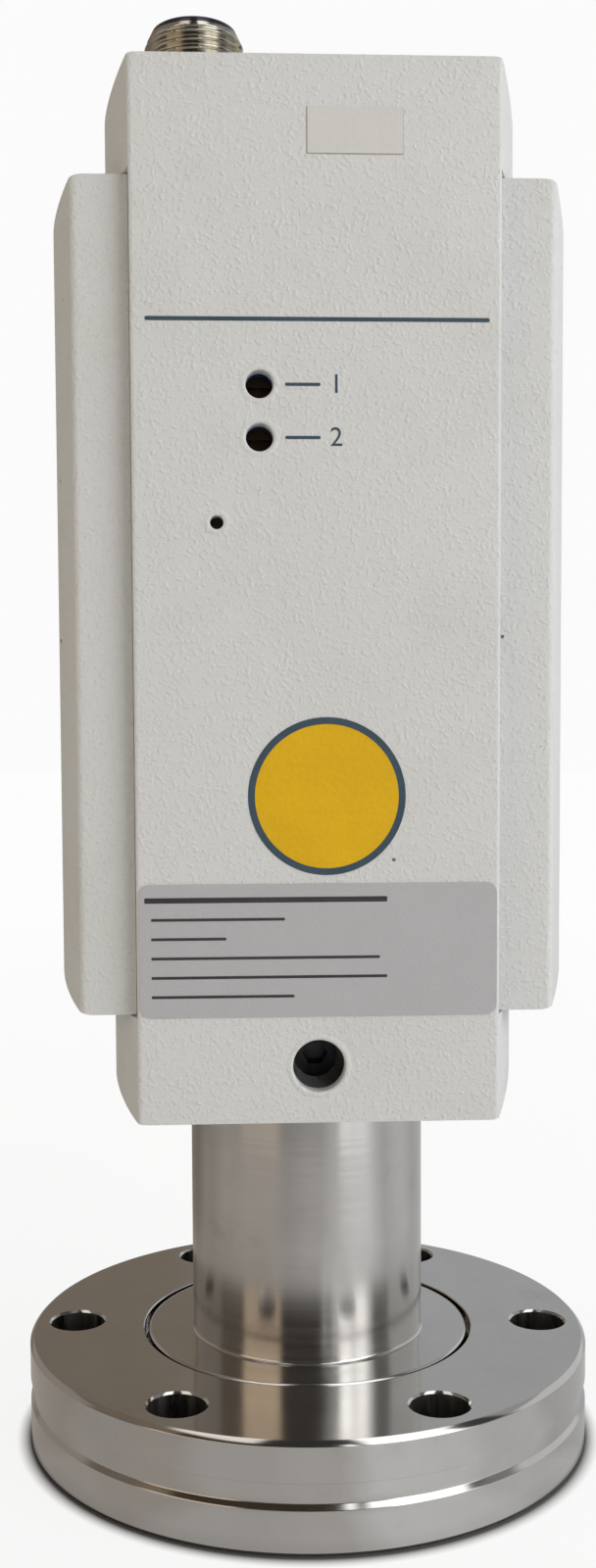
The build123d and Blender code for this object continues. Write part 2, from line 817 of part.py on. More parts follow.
# Header strips that join the boards
with BuildPart() as board_link:
    with BuildSketch(facing_front(main_board_y)):
        with Locations((0, board_low_z + 3 * link_t)):
            Rectangle(link_w, link_t)
    extrude(amount=main_board_y - power_board_rear)
board_link.part.label = "board_link"
export_step(board_link.part, "parts/board_link.step")

with BuildPart() as adjust_link:
    with BuildSketch(facing_front(power_board_y)):
        with Locations((0, adjust_board_z - adjust_board_h / 2 + 2 * link_t)):
            Rectangle(link_w, link_t)
    extrude(amount=power_board_y - adjust_board_rear)
adjust_link.part.label = "adjust_link"
export_step(adjust_link.part, "parts/adjust_link.step")

# Transformer on the main board: bobbin between two ferrite halves
transformer_z = board_low_z + transformer_share * board_h
with BuildPart() as transformer:
    with BuildSketch(facing_front(main_board_y)):
        with Locations((0, transformer_z)):
            Rectangle(transformer_w, transformer_h)
    extrude(amount=transformer_d)
    with BuildSketch(facing_front(main_board_y)):
        with Locations((0, transformer_z)):
            RectangleRounded(bobbin_w, bobbin_h, bobbin_h / 4)
    extrude(amount=transformer_d * 0.8)
transformer.part.label = "transformer"
export_step(transformer.part, "parts/transformer.step")

# Electrolytic capacitors on the power board
capacitor_z = board_low_z + capacitor_share * board_h
with BuildPart() as capacitors:
    with BuildSketch(facing_front(power_board_rear)):
        with Locations(*[(i * capacitor_pitch, capacitor_z) for i in (-1, 0, 1)]):
            Circle(capacitor_d / 2)
    extrude(amount=-capacitor_h)
capacitors.part.label = "capacitors"
export_step(capacitors.part, "parts/capacitors.step")

# Spacer ring that stands on the clamp ring and carries the socket board
with BuildPart() as spacer_ring:
    with BuildSketch(Plane.XY.offset(clamp_top_z)):
        Circle(spacer_od / 2)
        Circle(spacer_od / 2 - spacer_wall, mode=Mode.SUBTRACT)
    extrude(amount=socket_board_z - clamp_top_z)
spacer_ring.part.label = "spacer_ring"
export_step(spacer_ring.part, "parts/spacer_ring.step")

# Round board that carries the sockets
socket_points = [(0, 0)] + bead_points
with BuildPart() as socket_board:
    with BuildSketch(Plane.XY.offset(socket_board_z)):
        Circle(spacer_od / 2)
        with Locations(*socket_points, *pirani_points):
            Circle(socket_od / 2, mode=Mode.SUBTRACT)
    extrude(amount=board_t)
socket_board.part.label = "socket_board"
export_step(socket_board.part, "parts/socket_board.step")

# Sockets that the pins of the sensor plug into
with BuildPart() as pin_sockets:
    with BuildSketch(Plane.XY.offset(socket_low_z)):
        with Locations(*socket_points, *pirani_points):
            Circle(socket_od / 2)
        with Locations(*socket_points):
            Circle(pin_d / 2 + socket_fit, mode=Mode.SUBTRACT)
        with Locations(*pirani_points):
            Circle(pirani_pin_d / 2 + socket_fit, mode=Mode.SUBTRACT)
    extrude(amount=socket_l)
pin_sockets.part.label = "pin_sockets"
export_step(pin_sockets.part, "parts/pin_sockets.step")

# Header between the socket board and the main board
with BuildPart() as sensor_link:
    with BuildSketch(Plane.XY.offset(socket_board_z + board_t)):
        with Locations((0, main_board_rear + link_t / 2)):
            Rectangle(sensor_link_w, link_t)
    extrude(amount=sensor_link_h)
sensor_link.part.label = "sensor_link"
export_step(sensor_link.part, "parts/sensor_link.step")

# Trimmers: a square body with a round pocket, and the slotted rotor that turns in it
for letter, z in (("a", setpoint_a_z), ("b", setpoint_b_z)):
    with BuildPart() as trimmer_body:
        with BuildSketch(facing_front(adjust_board_y)):
            with Locations((setpoint_x, z)):
                Rectangle(trimmer_w, trimmer_w)
        extrude(amount=trimmer_t)
        pocket_y = rotor_face_y + rotor_l + rotor_end_gap
        with BuildSketch(facing_front(pocket_y)):
            with Locations((setpoint_x, z)):
                Circle(rotor_d / 2 + rotor_fit)
        extrude(amount=trimmer_t, mode=Mode.SUBTRACT)
    trimmer_body.part.label = f"trimmer_{letter}_body"
    export_step(trimmer_body.part, f"parts/trimmer_{letter}_body.step")
    with BuildPart() as trimmer_rotor:
        with BuildSketch(facing_front(rotor_face_y)):
            with Locations((setpoint_x, z)):
                Circle(rotor_d / 2)
        extrude(amount=-rotor_l)
        with BuildSketch(facing_front(rotor_face_y)):
            with Locations((setpoint_x, z)):
                Rectangle(rotor_d, rotor_slot_w)
        extrude(amount=-rotor_slot_depth, mode=Mode.SUBTRACT)
    trimmer_rotor.part.label = f"trimmer_{letter}_rotor"
    export_step(trimmer_rotor.part, f"parts/trimmer_{letter}_rotor.step")

# Switch behind the pinhole: body with a round pocket, and the button that travels in it
with BuildPart() as switch_body:
    with BuildSketch(facing_front(adjust_board_y)):
        with Locations((button_x, button_z)):
            Rectangle(switch_w, switch_w)
    extrude(amount=switch_t)
    with BuildSketch(facing_front(rotor_face_y + button_l + 2 * button_travel)):
        with Locations((button_x, button_z)):
            Circle(button_d / 2 + button_fit)
    extrude(amount=switch_t, mode=Mode.SUBTRACT)
switch_body.part.label = "switch_body"
export_step(switch_body.part, "parts/switch_body.step")

with BuildPart() as switch_button:
    with BuildSketch(facing_front(rotor_face_y)):
        with Locations((button_x, button_z)):
            Circle(button_d / 2)
    extrude(amount=-button_l)
switch_button.part.label = "switch_button"
export_step(switch_button.part, "parts/switch_button.step")

# Barrel of the round connector: flange on the top plate, threaded part above and below
m12_axis = Axis((m12_x, m12_y, 0), (0, 0, 1))
m12_plane = Plane(origin=(m12_x, m12_y, 0), x_dir=(1, 0, 0), z_dir=(0, -1, 0))
with BuildPart() as m12_shell:
    with BuildSketch(m12_plane):
        with BuildLine():
            Polyline(
                (m12_bore_d / 2, m12_low_z),
                (m12_d / 2, m12_low_z),
                (m12_d / 2, top_face_z),
                (m12_flange_d / 2, top_face_z),
                (m12_flange_d / 2, top_face_z + m12_flange_h),
                (m12_d / 2, top_face_z + m12_flange_h),
                (m12_d / 2, m12_top_z - m12_rim_cone_h),
                (m12_d / 2 - m12_rim_step, m12_top_z),
                (m12_bore_d / 2, m12_top_z),
                close=True,
            )
        make_face()
        with Locations((m12_d / 2 + m12_seal_d / 2, top_face_z + m12_seal_d / 2)):
            Rectangle(m12_seal_d, m12_seal_d, mode=Mode.SUBTRACT)
    revolve(axis=m12_axis)
m12_shell.part.label = "m12_shell"
export_step(m12_shell.part, "parts/m12_shell.step")

# Insulator with a keyway rib on the wall of the socket
m12_floor_z = m12_top_z - m12_socket_depth
with BuildPart() as m12_insert:
    with BuildSketch(Plane.XY.offset(m12_low_z)):
        with Locations((m12_x, m12_y)):
            Circle(m12_bore_d / 2 - insert_fit)
        with Locations(*m12_pin_points):
            Circle(m12_pin_d / 2, mode=Mode.SUBTRACT)
    extrude(amount=m12_floor_z - m12_low_z)
    with BuildSketch(Plane.XY.offset(m12_floor_z)):
        with Locations((m12_x, m12_y)):
            Circle(m12_bore_d / 2 - insert_fit)
            Circle(m12_bore_d / 2 - insert_fit - m12_key_w / 2, mode=Mode.SUBTRACT)
            Rectangle(m12_bore_d, m12_key_w, align=(Align.MIN, Align.CENTER), mode=Mode.INTERSECT)
    extrude(amount=m12_socket_depth - m12_pin_recess)
m12_insert.part.label = "m12_insert"
export_step(m12_insert.part, "parts/m12_insert.step")

# Five contact pins
with BuildPart() as m12_pins:
    with BuildSketch(Plane.XY.offset(m12_low_z - m12_pin_d)):
        with Locations(*m12_pin_points):
            Circle(m12_pin_d / 2)
    extrude(amount=m12_top_z - m12_pin_recess - m12_low_z + m12_pin_d)
m12_pins.part.label = "m12_pins"
export_step(m12_pins.part, "parts/m12_pins.step")

# Nut under the top plate
with BuildPart() as m12_nut:
    with BuildSketch(Plane.XY.offset(top_plate_z - m12_nut_t)):
        with Locations((m12_x, m12_y)):
            RegularPolygon(m12_flange_d / 2, 6, major_radius=False, rotation=30)
            Circle(m12_d / 2 + insert_fit, mode=Mode.SUBTRACT)
    extrude(amount=m12_nut_t)
m12_nut.part.label = "m12_nut"
export_step(m12_nut.part, "parts/m12_nut.step")

# Seal ring in the groove under the connector's flange
with BuildPart() as m12_seal:
    with BuildSketch(m12_plane):
        with Locations((m12_d / 2 + m12_seal_d / 2, top_face_z + m12_seal_d / 2)):
            Circle(m12_seal_d / 2)
    revolve(axis=m12_axis)
m12_seal.part.label = "m12_seal"
export_step(m12_seal.part, "parts/m12_seal.step")


# D outline as a rounded face on the current sketch
def dsub_outline(grow, radius):
    with BuildSketch(Plane.XY, mode=Mode.PRIVATE) as outline:
        Polygon(*dsub_points(grow), align=None)
        fillet(outline.vertices(), radius)
    add(outline.sketch)


# Metal shell of the fifteen-pole connector: flange and D-shaped wall
dsub_inner = -dsub_shell_wall
with BuildPart() as dsub_shell:
    with BuildSketch(Plane.XY.offset(top_face_z)):
        with Locations((0, dsub_y)):
            RectangleRounded(dsub_flange_w, dsub_flange_d, dsub_flange_r)
        with Locations(*jack_points):
            Circle(jack_thread_d / 2 + panel_hole_fit, mode=Mode.SUBTRACT)
    extrude(amount=dsub_flange_t)
    with BuildSketch(Plane.XY.offset(top_face_z + dsub_flange_t)):
        dsub_outline(0, dsub_corner_r)
    extrude(amount=dsub_shell_h)
    with BuildSketch(Plane.XY.offset(top_face_z)):
        dsub_outline(dsub_inner, dsub_corner_r + dsub_inner)
    extrude(amount=dsub_flange_t + dsub_shell_h, mode=Mode.SUBTRACT)
dsub_shell.part.label = "dsub_shell"
export_step(dsub_shell.part, "parts/dsub_shell.step")

# Contact positions, eight in the wide row and seven in the narrow one
dsub_points_list = [
    ((i - (count - 1) / 2) * dsub_pitch, dsub_y + side * dsub_row_gap / 2)
    for count, side in dsub_rows
    for i in range(count)
]
dsub_low_z = top_face_z - dsub_rear_h
dsub_floor_z = top_face_z + dsub_flange_t + dsub_floor_h

# Insulator of the fifteen-pole connector
with BuildPart() as dsub_insert:
    with BuildSketch(Plane.XY.offset(dsub_low_z)):
        dsub_outline(dsub_inner - insert_fit, dsub_corner_r + dsub_inner)
        with Locations(*dsub_points_list):
            Circle(dsub_pin_d / 2, mode=Mode.SUBTRACT)
    extrude(amount=dsub_floor_z - dsub_low_z)
dsub_insert.part.label = "dsub_insert"
export_step(dsub_insert.part, "parts/dsub_insert.step")

# Fifteen contact pins
with BuildPart() as dsub_pins:
    with BuildSketch(Plane.XY.offset(dsub_low_z)):
        with Locations(*dsub_points_list):
            Circle(dsub_pin_d / 2)
    extrude(amount=top_face_z + dsub_flange_t + dsub_pin_h - dsub_low_z)
dsub_pins.part.label = "dsub_pins"
export_step(dsub_pins.part, "parts/dsub_pins.step")

# Two hexagonal jack screws, tapped at the top, with a shank through the top plate
with BuildPart() as jack_screws:
    with BuildSketch(Plane.XY.offset(top_face_z + dsub_flange_t)):
        with Locations(*jack_points):
            RegularPolygon(jack_af / 2, 6, major_radius=False)
            Circle(jack_hole_d / 2, mode=Mode.SUBTRACT)
    extrude(amount=jack_h)
    with BuildSketch(Plane.XY.offset(top_face_z + dsub_flange_t)):
        with Locations(*jack_points):
            Circle(jack_thread_d / 2)
    extrude(amount=-dsub_rear_h)
jack_screws.part.label = "jack_screws"
export_step(jack_screws.part, "parts/jack_screws.step")

# Grey rating plate across the front panel
with BuildPart() as rating_label:
    with BuildSketch(facing_front(front_y)):
        with Locations((0, label_z)):
            RectangleRounded(label_w, label_h, label_r)
    extrude(amount=label_t)
rating_label.part.label = "rating_label"
export_step(rating_label.part, "parts/rating_label.step")

# Small white sticker near the top of the panel
with BuildPart() as marking_sticker:
    with BuildSketch(facing_front(front_y)):
        with Locations((sticker_x, sticker_z)):
            Rectangle(sticker_w, sticker_h)
    extrude(amount=sticker_t)
marking_sticker.part.label = "marking_sticker"
export_step(marking_sticker.part, "parts/marking_sticker.step")
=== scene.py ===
"""Looks of the hot cathode ionization gauge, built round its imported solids.

Lengths in this file are metres, in the frame of the solids: origin at the centre of the
flange's sealing side, +Z towards the housing, the front panel facing -Y.
"""

import math

import bmesh
import bpy
import numpy as np
from bpy.props import FloatProperty, FloatVectorProperty, IntProperty, PointerProperty
from mathutils import Matrix, Vector


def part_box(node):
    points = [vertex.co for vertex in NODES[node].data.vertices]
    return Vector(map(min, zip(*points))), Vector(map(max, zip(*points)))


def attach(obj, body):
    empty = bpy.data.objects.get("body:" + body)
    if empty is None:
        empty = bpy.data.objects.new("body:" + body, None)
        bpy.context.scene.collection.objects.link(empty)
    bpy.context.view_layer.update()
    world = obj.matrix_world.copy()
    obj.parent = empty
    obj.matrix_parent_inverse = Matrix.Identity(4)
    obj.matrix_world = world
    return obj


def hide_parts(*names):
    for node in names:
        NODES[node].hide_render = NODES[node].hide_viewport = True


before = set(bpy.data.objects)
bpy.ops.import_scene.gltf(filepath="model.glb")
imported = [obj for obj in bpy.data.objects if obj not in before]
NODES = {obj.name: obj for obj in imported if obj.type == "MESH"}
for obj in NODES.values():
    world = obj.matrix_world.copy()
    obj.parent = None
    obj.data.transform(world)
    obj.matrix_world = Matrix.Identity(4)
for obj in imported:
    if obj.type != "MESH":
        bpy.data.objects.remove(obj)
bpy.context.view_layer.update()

bl_info = {
    "name": "Ionization gauge finishes",
    "version": (1, 0, 0),
    "blender": (4, 5, 0),
    "location": "3D View > Sidebar > Gauge",
    "description": "Builds the finished surfaces of a hot cathode ionization gauge",
    "category": "Object",
}

MM = 0.001


# --- Settings ---


def length(name, description, default):
    """A length that a user may change, in metres."""
    return FloatProperty(name=name, description=description, default=default, min=0.0, precision=5, unit="LENGTH")


def colour(name, description, default):
    """A colour that a user may change, in linear light."""
    return FloatVectorProperty(
        name=name, description=description, default=default, size=3, min=0.0, max=1.0, subtype="COLOR"
    )


class FlangeSettings(bpy.types.PropertyGroup):
    """Sizes of the flange ring, its insert and the tube."""

    rim_radius: length("Rim radius", "Outer radius of the flange ring", 34.95 * MM)
    thickness: length("Thickness", "Height of the flange ring", 12.7 * MM)
    rim_chamfer: length("Rim chamfer", "Chamfer of the ring's top and bottom edges", 0.5 * MM)
    groove_low: length("Groove low edge", "Height where the rim groove starts", 5.2 * MM)
    groove_high: length("Groove high edge", "Height where the rim groove ends", 8.1 * MM)
    groove_depth: length("Groove depth", "Depth of the rim groove", 0.5 * MM)
    bore_radius: length("Bore radius", "Radius of the ring round the collar", 20.7 * MM)
    lip_radius: length("Lip radius", "Radius of the ring round the insert's lip", 25.4 * MM)
    lip_height: length("Lip height", "Height of the step above the lip", 5.7 * MM)
    bolt_circle_radius: length("Bolt circle radius", "Radius of the circle of bolt holes", 29.35 * MM)
    bolt_hole_radius: length("Bolt hole radius", "Radius of one bolt hole", 3.35 * MM)
    bolt_hole_chamfer: length("Bolt hole chamfer", "Chamfer at both ends of a bolt hole", 0.25 * MM)
    ring_turn: FloatProperty(
        name="Ring turn", description="Turn of the bolt circle", default=math.radians(-3.1), subtype="ANGLE"
    )
    tube_radius: length("Tube radius", "Outer radius of the sensor tube", 14.5 * MM)
    tube_wall: length("Tube wall", "Wall of the sensor tube", 1.5 * MM)


class ConnectorSettings(bpy.types.PropertyGroup):
    """Sizes of the threaded barrel."""

    axis_x: length("Axis across", "Distance of the barrel's axis left of the middle", 13.0 * MM)
    axis_y: length("Axis forward", "Distance of the barrel's axis in front of the middle", 0.5 * MM)
    thread_radius: length("Thread radius", "Outer radius of the thread", 6.0 * MM)
    thread_depth: length("Thread depth", "Depth of one turn", 0.54 * MM)
    thread_pitch: length("Thread pitch", "Distance from turn to turn", 1.0 * MM)
    rim_radius: length("Rim radius", "Radius of the rim above the run-in cone", 5.0 * MM)
    bore_radius: length("Bore radius", "Inner radius of the barrel", 4.4 * MM)


class ColourSettings(bpy.types.PropertyGroup):
    """Colours of paint, print and steel."""

    paint: colour("Paint", "Textured off-white of the housing", (0.582, 0.592, 0.594))
    paint_shade: colour("Paint shade", "Slightly darker patches in the paint", (0.548, 0.550, 0.535))
    slate: colour("Slate print", "Ink of the rule, the numerals and the ring", (0.036, 0.060, 0.084))
    yellow: colour("Yellow print", "Ink of the round field", (0.690, 0.410, 0.004))
    label: colour("Label", "Film of the rating label", (0.415, 0.420, 0.440))
    ink: colour("Label ink", "Ink of the label's ruled lines", (0.030, 0.030, 0.034))
    steel: colour("Steel", "Turned and polished stainless steel", (0.560, 0.548, 0.530))
    nickel: colour("Nickel", "Nickel plate of the connectors", (0.500, 0.470, 0.400))


# --- Mesh helpers ---


def mesh_piece(name, points, faces, finish, sharp_degrees=35.0):
    """A new mesh object at the origin from an array of points and an array of faces.

    Faces are shaded smooth, and edges whose faces meet at more than sharp_degrees stay sharp.
    """
    mesh = bpy.data.meshes.new(name)
    mesh.from_pydata(points, [], faces)
    return shown(name, mesh, finish, sharp_degrees)


def shown(name, mesh, finish, sharp_degrees=35.0):
    """Links a mesh to the scene as an object of that name, smooth apart from its sharp edges."""
    mesh.update()
    mesh.polygons.foreach_set("use_smooth", np.ones(len(mesh.polygons), dtype=bool))
    mesh.set_sharp_from_angle(angle=math.radians(sharp_degrees))
    mesh.materials.clear()
    mesh.materials.append(finish)
    piece = bpy.data.objects.new(name, mesh)
    bpy.context.scene.collection.objects.link(piece)
    return piece


def closed_up(mesh, tolerance):
    """Merges the points that patches share and turns every face outwards."""
    shape = bmesh.new()
    shape.from_mesh(mesh)
    bmesh.ops.remove_doubles(shape, verts=shape.verts, dist=tolerance)
    bmesh.ops.recalc_face_normals(shape, faces=shape.faces)
    shape.to_mesh(mesh)
    shape.free()


def grid_faces(rows, columns, wrap_rows=False):
    """Four-sided faces of rows of points, each row closed to a ring, and the last joined to the first if asked."""
    i, j = (a.ravel() for a in np.indices((rows if wrap_rows else rows - 1, columns)))
    i_next, j_next = (i + 1) % rows, (j + 1) % columns
    return np.stack([i * columns + j, i * columns + j_next, i_next * columns + j_next, i_next * columns + j], axis=1)


def softened(profile, radius, steps=4):
    """A closed profile with each corner rounded.

    Each corner is cut back along both sides by radius, or less on a short side, and the gap is
    filled with a quadratic curve: (1-t)^2 a + 2 t (1-t) corner + t^2 b.
    """
    corner = np.asarray(profile, float)
    sides = (np.roll(corner, step, axis=0) - corner for step in (1, -1))
    a, b = (corner + side * np.minimum(radius / np.linalg.norm(side, axis=1, keepdims=True), 0.4) for side in sides)
    t = np.linspace(0, 1, steps)[None, :, None]
    curve = (1 - t) ** 2 * a[:, None] + 2 * t * (1 - t) * corner[:, None] + t**2 * b[:, None]
    return curve.reshape(-1, 2)


def round_points(radius, angle, height, centre=(0.0, 0.0)):
    """Points (centre x + radius cos angle, centre y + radius sin angle, height), as one array."""
    x, y = centre[0] + radius * np.cos(angle), centre[1] + radius * np.sin(angle)
    return np.stack(np.broadcast_arrays(x, y, height), axis=-1)


def full_turn(steps):
    """Angles of a full turn in equal steps."""
    return np.linspace(0, 2 * np.pi, steps, endpoint=False)


def turned(profile, steps, centre=(0.0, 0.0)):
    """Points and faces of a closed profile of (radius, height) turned about a vertical axis."""
    r, z = np.asarray(profile, float).T[:, :, None]
    points = round_points(r, full_turn(steps), z, centre)
    return points.reshape(-1, 3), grid_faces(len(r), steps, wrap_rows=True)


def thin_plate(outline, front_y, thickness):
    """Points and faces of a thin plate standing on the panel.

    The outline is an array of (x, z) seen from the front, and the faces are a fan to its middle.
    """
    n = len(outline)
    middle = outline.mean(axis=0)
    flat = np.vstack([outline, outline, middle, middle])
    depth = np.concatenate([np.full(n, front_y - thickness), np.full(n, front_y), [front_y - thickness, front_y]])
    points = np.stack([flat[:, 0], depth, flat[:, 1]], axis=1)
    i = np.arange(n)
    k, first, last = (i + 1) % n, np.full(n, 2 * n), np.full(n, 2 * n + 1)
    faces = ((i, k, first), (n + k, n + i, last), (i, n + i, n + k), (i, n + k, k))
    return points, np.concatenate([np.stack(corners, axis=1) for corners in faces])


def joined(parts):
    """Several (points, faces) pairs as one pair."""
    points, faces, start = [], [], 0
    for some_points, some_faces in parts:
        points.append(some_points)
        faces.append(some_faces + start)
        start += len(some_points)
    return np.vstack(points), np.vstack(faces)


def rounded_bar(low_x, high_x, low_z, high_z, radius, steps=6):
    """Outline of a bar with quarter-round corners, anticlockwise seen from the front."""
    left, right, foot, head = low_x + radius, high_x - radius, low_z + radius, high_z - radius
    arcs = []
    for quarter, middle in enumerate(((right, head), (left, head), (left, foot), (right, foot))):
        turn = np.linspace(0, np.pi / 2, steps) + quarter * np.pi / 2
        arcs.append(round_points(radius, turn, 0.0, middle)[:, :2])
    return np.vstack(arcs)


# --- Finishes ---

# Sockets of a Mix node that is set to colours
FIRST_COLOUR, SECOND_COLOUR, MIXED_COLOUR = 6, 7, 2


class NodeTree:
    """The emptied node tree of a material or world, with short calls for the nodes used here."""

    def __init__(self, owner):
        owner.use_nodes = True
        self.tree = owner.node_tree
        self.tree.nodes.clear()

    def node(self, kind, entries=None, **settings):
        """A new node with these settings. Each of its entries takes a link or a value."""
        made = self.tree.nodes.new(kind)
        for key, value in settings.items():
            setattr(made, key, value)
        for key, value in (entries or {}).items():
            self.feed(made.inputs[key], value)
        return made

    def feed(self, entry, value):
        """Links an output to an input, or sets the input to a value."""
        if isinstance(value, bpy.types.NodeSocket):
            self.tree.links.new(value, entry)
        else:
            entry.default_value = value

    def maths(self, operation, *values):
        """The result of a Math node."""
        return self.node("ShaderNodeMath", dict(enumerate(values)), operation=operation).outputs[0]

    def spread(self, value, low, high, to_low=0.0, to_high=1.0):
        """A value mapped from one range to another, held at its ends."""
        entries = {"Value": value, "From Min": low, "From Max": high, "To Min": to_low, "To Max": to_high}
        return self.node("ShaderNodeMapRange", entries, clamp=True).outputs["Result"]

    def mixed(self, value, first, second):
        """Two colours mixed by a value. Each is a link or three numbers."""
        made = self.node("ShaderNodeMix", {"Factor": value}, data_type="RGBA")
        for at, tone in ((FIRST_COLOUR, first), (SECOND_COLOUR, second)):
            self.feed(made.inputs[at], (*tone, 1.0) if isinstance(tone, tuple) else tone)
        return made.outputs[MIXED_COLOUR]


class Finish(NodeTree):
    """One node material of the object, round a single surface shader."""

    def __init__(self, name):
        self.material = bpy.data.materials.get(name) or bpy.data.materials.new(name)
        super().__init__(self.material)
        self.shader = self.node("ShaderNodeBsdfPrincipled")
        self.node("ShaderNodeOutputMaterial", {"Surface": self.shader.outputs["BSDF"]})
        self.place = self.node("ShaderNodeTexCoord").outputs["Object"]

    def plain(self, **values):
        """Sets values that are the same all over on the shader's own sockets."""
        for key, value in values.items():
            self.shader.inputs[key.replace("_", " ")].default_value = value

    def drive(self, entry, value):
        """Links a value to one of the shader's inputs."""
        self.feed(self.shader.inputs[entry], value)

    def stretched(self, scale, centre=(0, 0, 0)):
        """The object's coordinates, moved by minus centre and multiplied by scale."""
        moved = self.node("ShaderNodeVectorMath", {0: self.place, 1: centre}, operation="SUBTRACT")
        return self.node("ShaderNodeVectorMath", {0: moved.outputs[0], 1: scale}, operation="MULTIPLY").outputs[0]

    def noise(self, scale, detail, roughness, place=None):
        """Soft noise from 0 to 1."""
        entries = {"Vector": place or self.place, "Scale": scale, "Detail": detail, "Roughness": roughness}
        return self.node("ShaderNodeTexNoise", entries).outputs["Fac"]

    def sum(self, first, second, share):
        """first plus share times second."""
        return self.maths("MULTIPLY_ADD", second, share, first)

    def relief(self, height, distance, strength):
        """Bumps the surface by a height of distance metres."""
        made = self.node("ShaderNodeBump", {"Strength": strength, "Distance": distance, "Height": height})
        self.drive("Normal", made.outputs["Normal"])


def shade(tone, share):
    """A colour with each of its numbers multiplied by share."""
    return tuple(c * share for c in tone)


def paint_finish(colours):
    """Textured off-white powder paint: fine bumps, faint smudges and tiny dark specks."""
    f = Finish("textured_paint")
    fine = f.noise(2600.0, 2.0, 0.5)
    bumps = f.spread(f.noise(2300.0, 1.0, 0.4), 0.50, 0.74)
    smudge = f.spread(f.noise(55.0, 4.0, 0.62), 0.50, 0.80)
    speck = f.spread(f.noise(900.0, 0.0, 0.0, f.stretched((1, 1, 1), (0.011, 0.02, 0.013))), 0.885, 0.90)
    tone = f.mixed(smudge, tuple(colours.paint), tuple(colours.paint_shade))
    tone = f.mixed(f.spread(fine, 0.28, 0.42, 0.10, 0.0), tone, (0.30, 0.29, 0.26))
    tone = f.mixed(speck, tone, (0.12, 0.10, 0.09))
    f.drive("Base Color", tone)
    f.drive("Roughness", f.spread(fine, 0.3, 0.7, 0.50, 0.62))
    f.plain(Specular_IOR_Level=0.35)
    f.relief(f.sum(bumps, fine, 0.5), 0.00006, 0.9)
    return f.material


def turned_steel_finish(name, colours, roughness, ring_step=0.00022, marks=1.0, turning=0.0, groove=0.35):
    """Turned stainless steel: fine rings about the axis, a faint cloudiness and small marks.

    The rings are noise read at (radius / step, height / step), so they follow the lathe's path.
    """
    f = Finish(name)
    split = f.node("ShaderNodeSeparateXYZ", {0: f.place}).outputs
    flat = f.node("ShaderNodeCombineXYZ", {"X": split["X"], "Y": split["Y"]})
    radius = f.node("ShaderNodeVectorMath", {0: flat.outputs[0]}, operation="LENGTH")
    lathe = f.node("ShaderNodeCombineXYZ", {"X": radius.outputs["Value"], "Z": split["Z"]})
    rings = f.noise(1.0 / ring_step, 3.0, 0.6, lathe.outputs[0])
    cloud = f.noise(140.0, 4.0, 0.6)
    stain = f.spread(f.noise(70.0, 5.0, 0.65), 0.60, 0.78)
    tone = f.mixed(f.spread(cloud, 0.3, 0.7), tuple(colours.steel), shade(colours.steel, 0.93))
    tone = f.mixed(f.spread(stain, 0.0, 1.0, 0.0, 0.22 * marks), tone, (0.30, 0.26, 0.22))
    f.drive("Base Color", tone)
    f.drive("Roughness", f.sum(f.spread(rings, 0.3, 0.7, roughness * 0.75, roughness * 1.25), cloud, 0.03))
    f.plain(Metallic=1.0, Anisotropic=turning, Anisotropic_Rotation=0.25)
    f.drive("Tangent", f.node("ShaderNodeTangent", direction_type="RADIAL", axis="Z").outputs[0])
    f.relief(rings, 0.000004, groove)
    return f.material


def plated_finish(name, tone, roughness=0.16, wear=0.15):
    """Bright plate with faint scratches along the height and darker worn patches."""
    f = Finish(name)
    scratch = f.noise(900.0, 3.0, 0.6, f.stretched((1.0, 1.0, 0.08)))
    patch = f.spread(f.noise(500.0, 3.0, 0.6), 0.45, 0.75, 0.0, wear * 2)
    f.drive("Base Color", f.mixed(patch, tone, shade(tone, 0.72)))
    f.drive("Roughness", f.spread(scratch, 0.35, 0.7, roughness * 0.8, roughness * 1.6))
    f.plain(Metallic=1.0)
    f.relief(scratch, 0.00001, 0.2)
    return f.material


def printed_finish(name, tone, other, grain=2300.0, roughness=0.5):
    """Ink or film: two close tones, with the grain of the surface under it showing through."""
    f = Finish(name)
    under = f.noise(grain, 1.5, 0.45)
    patch = f.noise(160.0, 3.0, 0.6)
    f.drive("Base Color", f.mixed(f.spread(f.sum(patch, under, 0.5), 0.45, 1.0), tone, other))
    f.drive("Roughness", f.spread(patch, 0.3, 0.7, roughness * 0.9, roughness * 1.1))
    f.plain(Specular_IOR_Level=0.2)
    f.relief(under, 0.00010, 0.35)
    return f.material


def moulded_finish(name, tone, roughness=0.45, grain=2600.0):
    """Moulded plastic, glass-fibre board or rubber: fine spark texture and slight tone changes."""
    f = Finish(name)
    texture = f.noise(grain, 2.0, 0.5)
    cloud = f.noise(220.0, 3.0, 0.6)
    f.drive("Base Color", f.mixed(f.spread(cloud, 0.3, 0.7), tone, shade(tone, 0.82)))
    f.drive("Roughness", f.spread(texture, 0.3, 0.7, roughness * 0.85, roughness * 1.15))
    f.relief(texture, 0.00003, 0.4)
    return f.material


def bead_finish():
    """Sealing glass with a faint green cast."""
    f = Finish("sealing_glass")
    cloud = f.noise(700.0, 2.0, 0.5)
    f.drive("Roughness", f.spread(cloud, 0.3, 0.7, 0.04, 0.12))
    f.plain(Base_Color=(0.42, 0.60, 0.58, 1.0), Transmission_Weight=0.7, IOR=1.5)
    return f.material


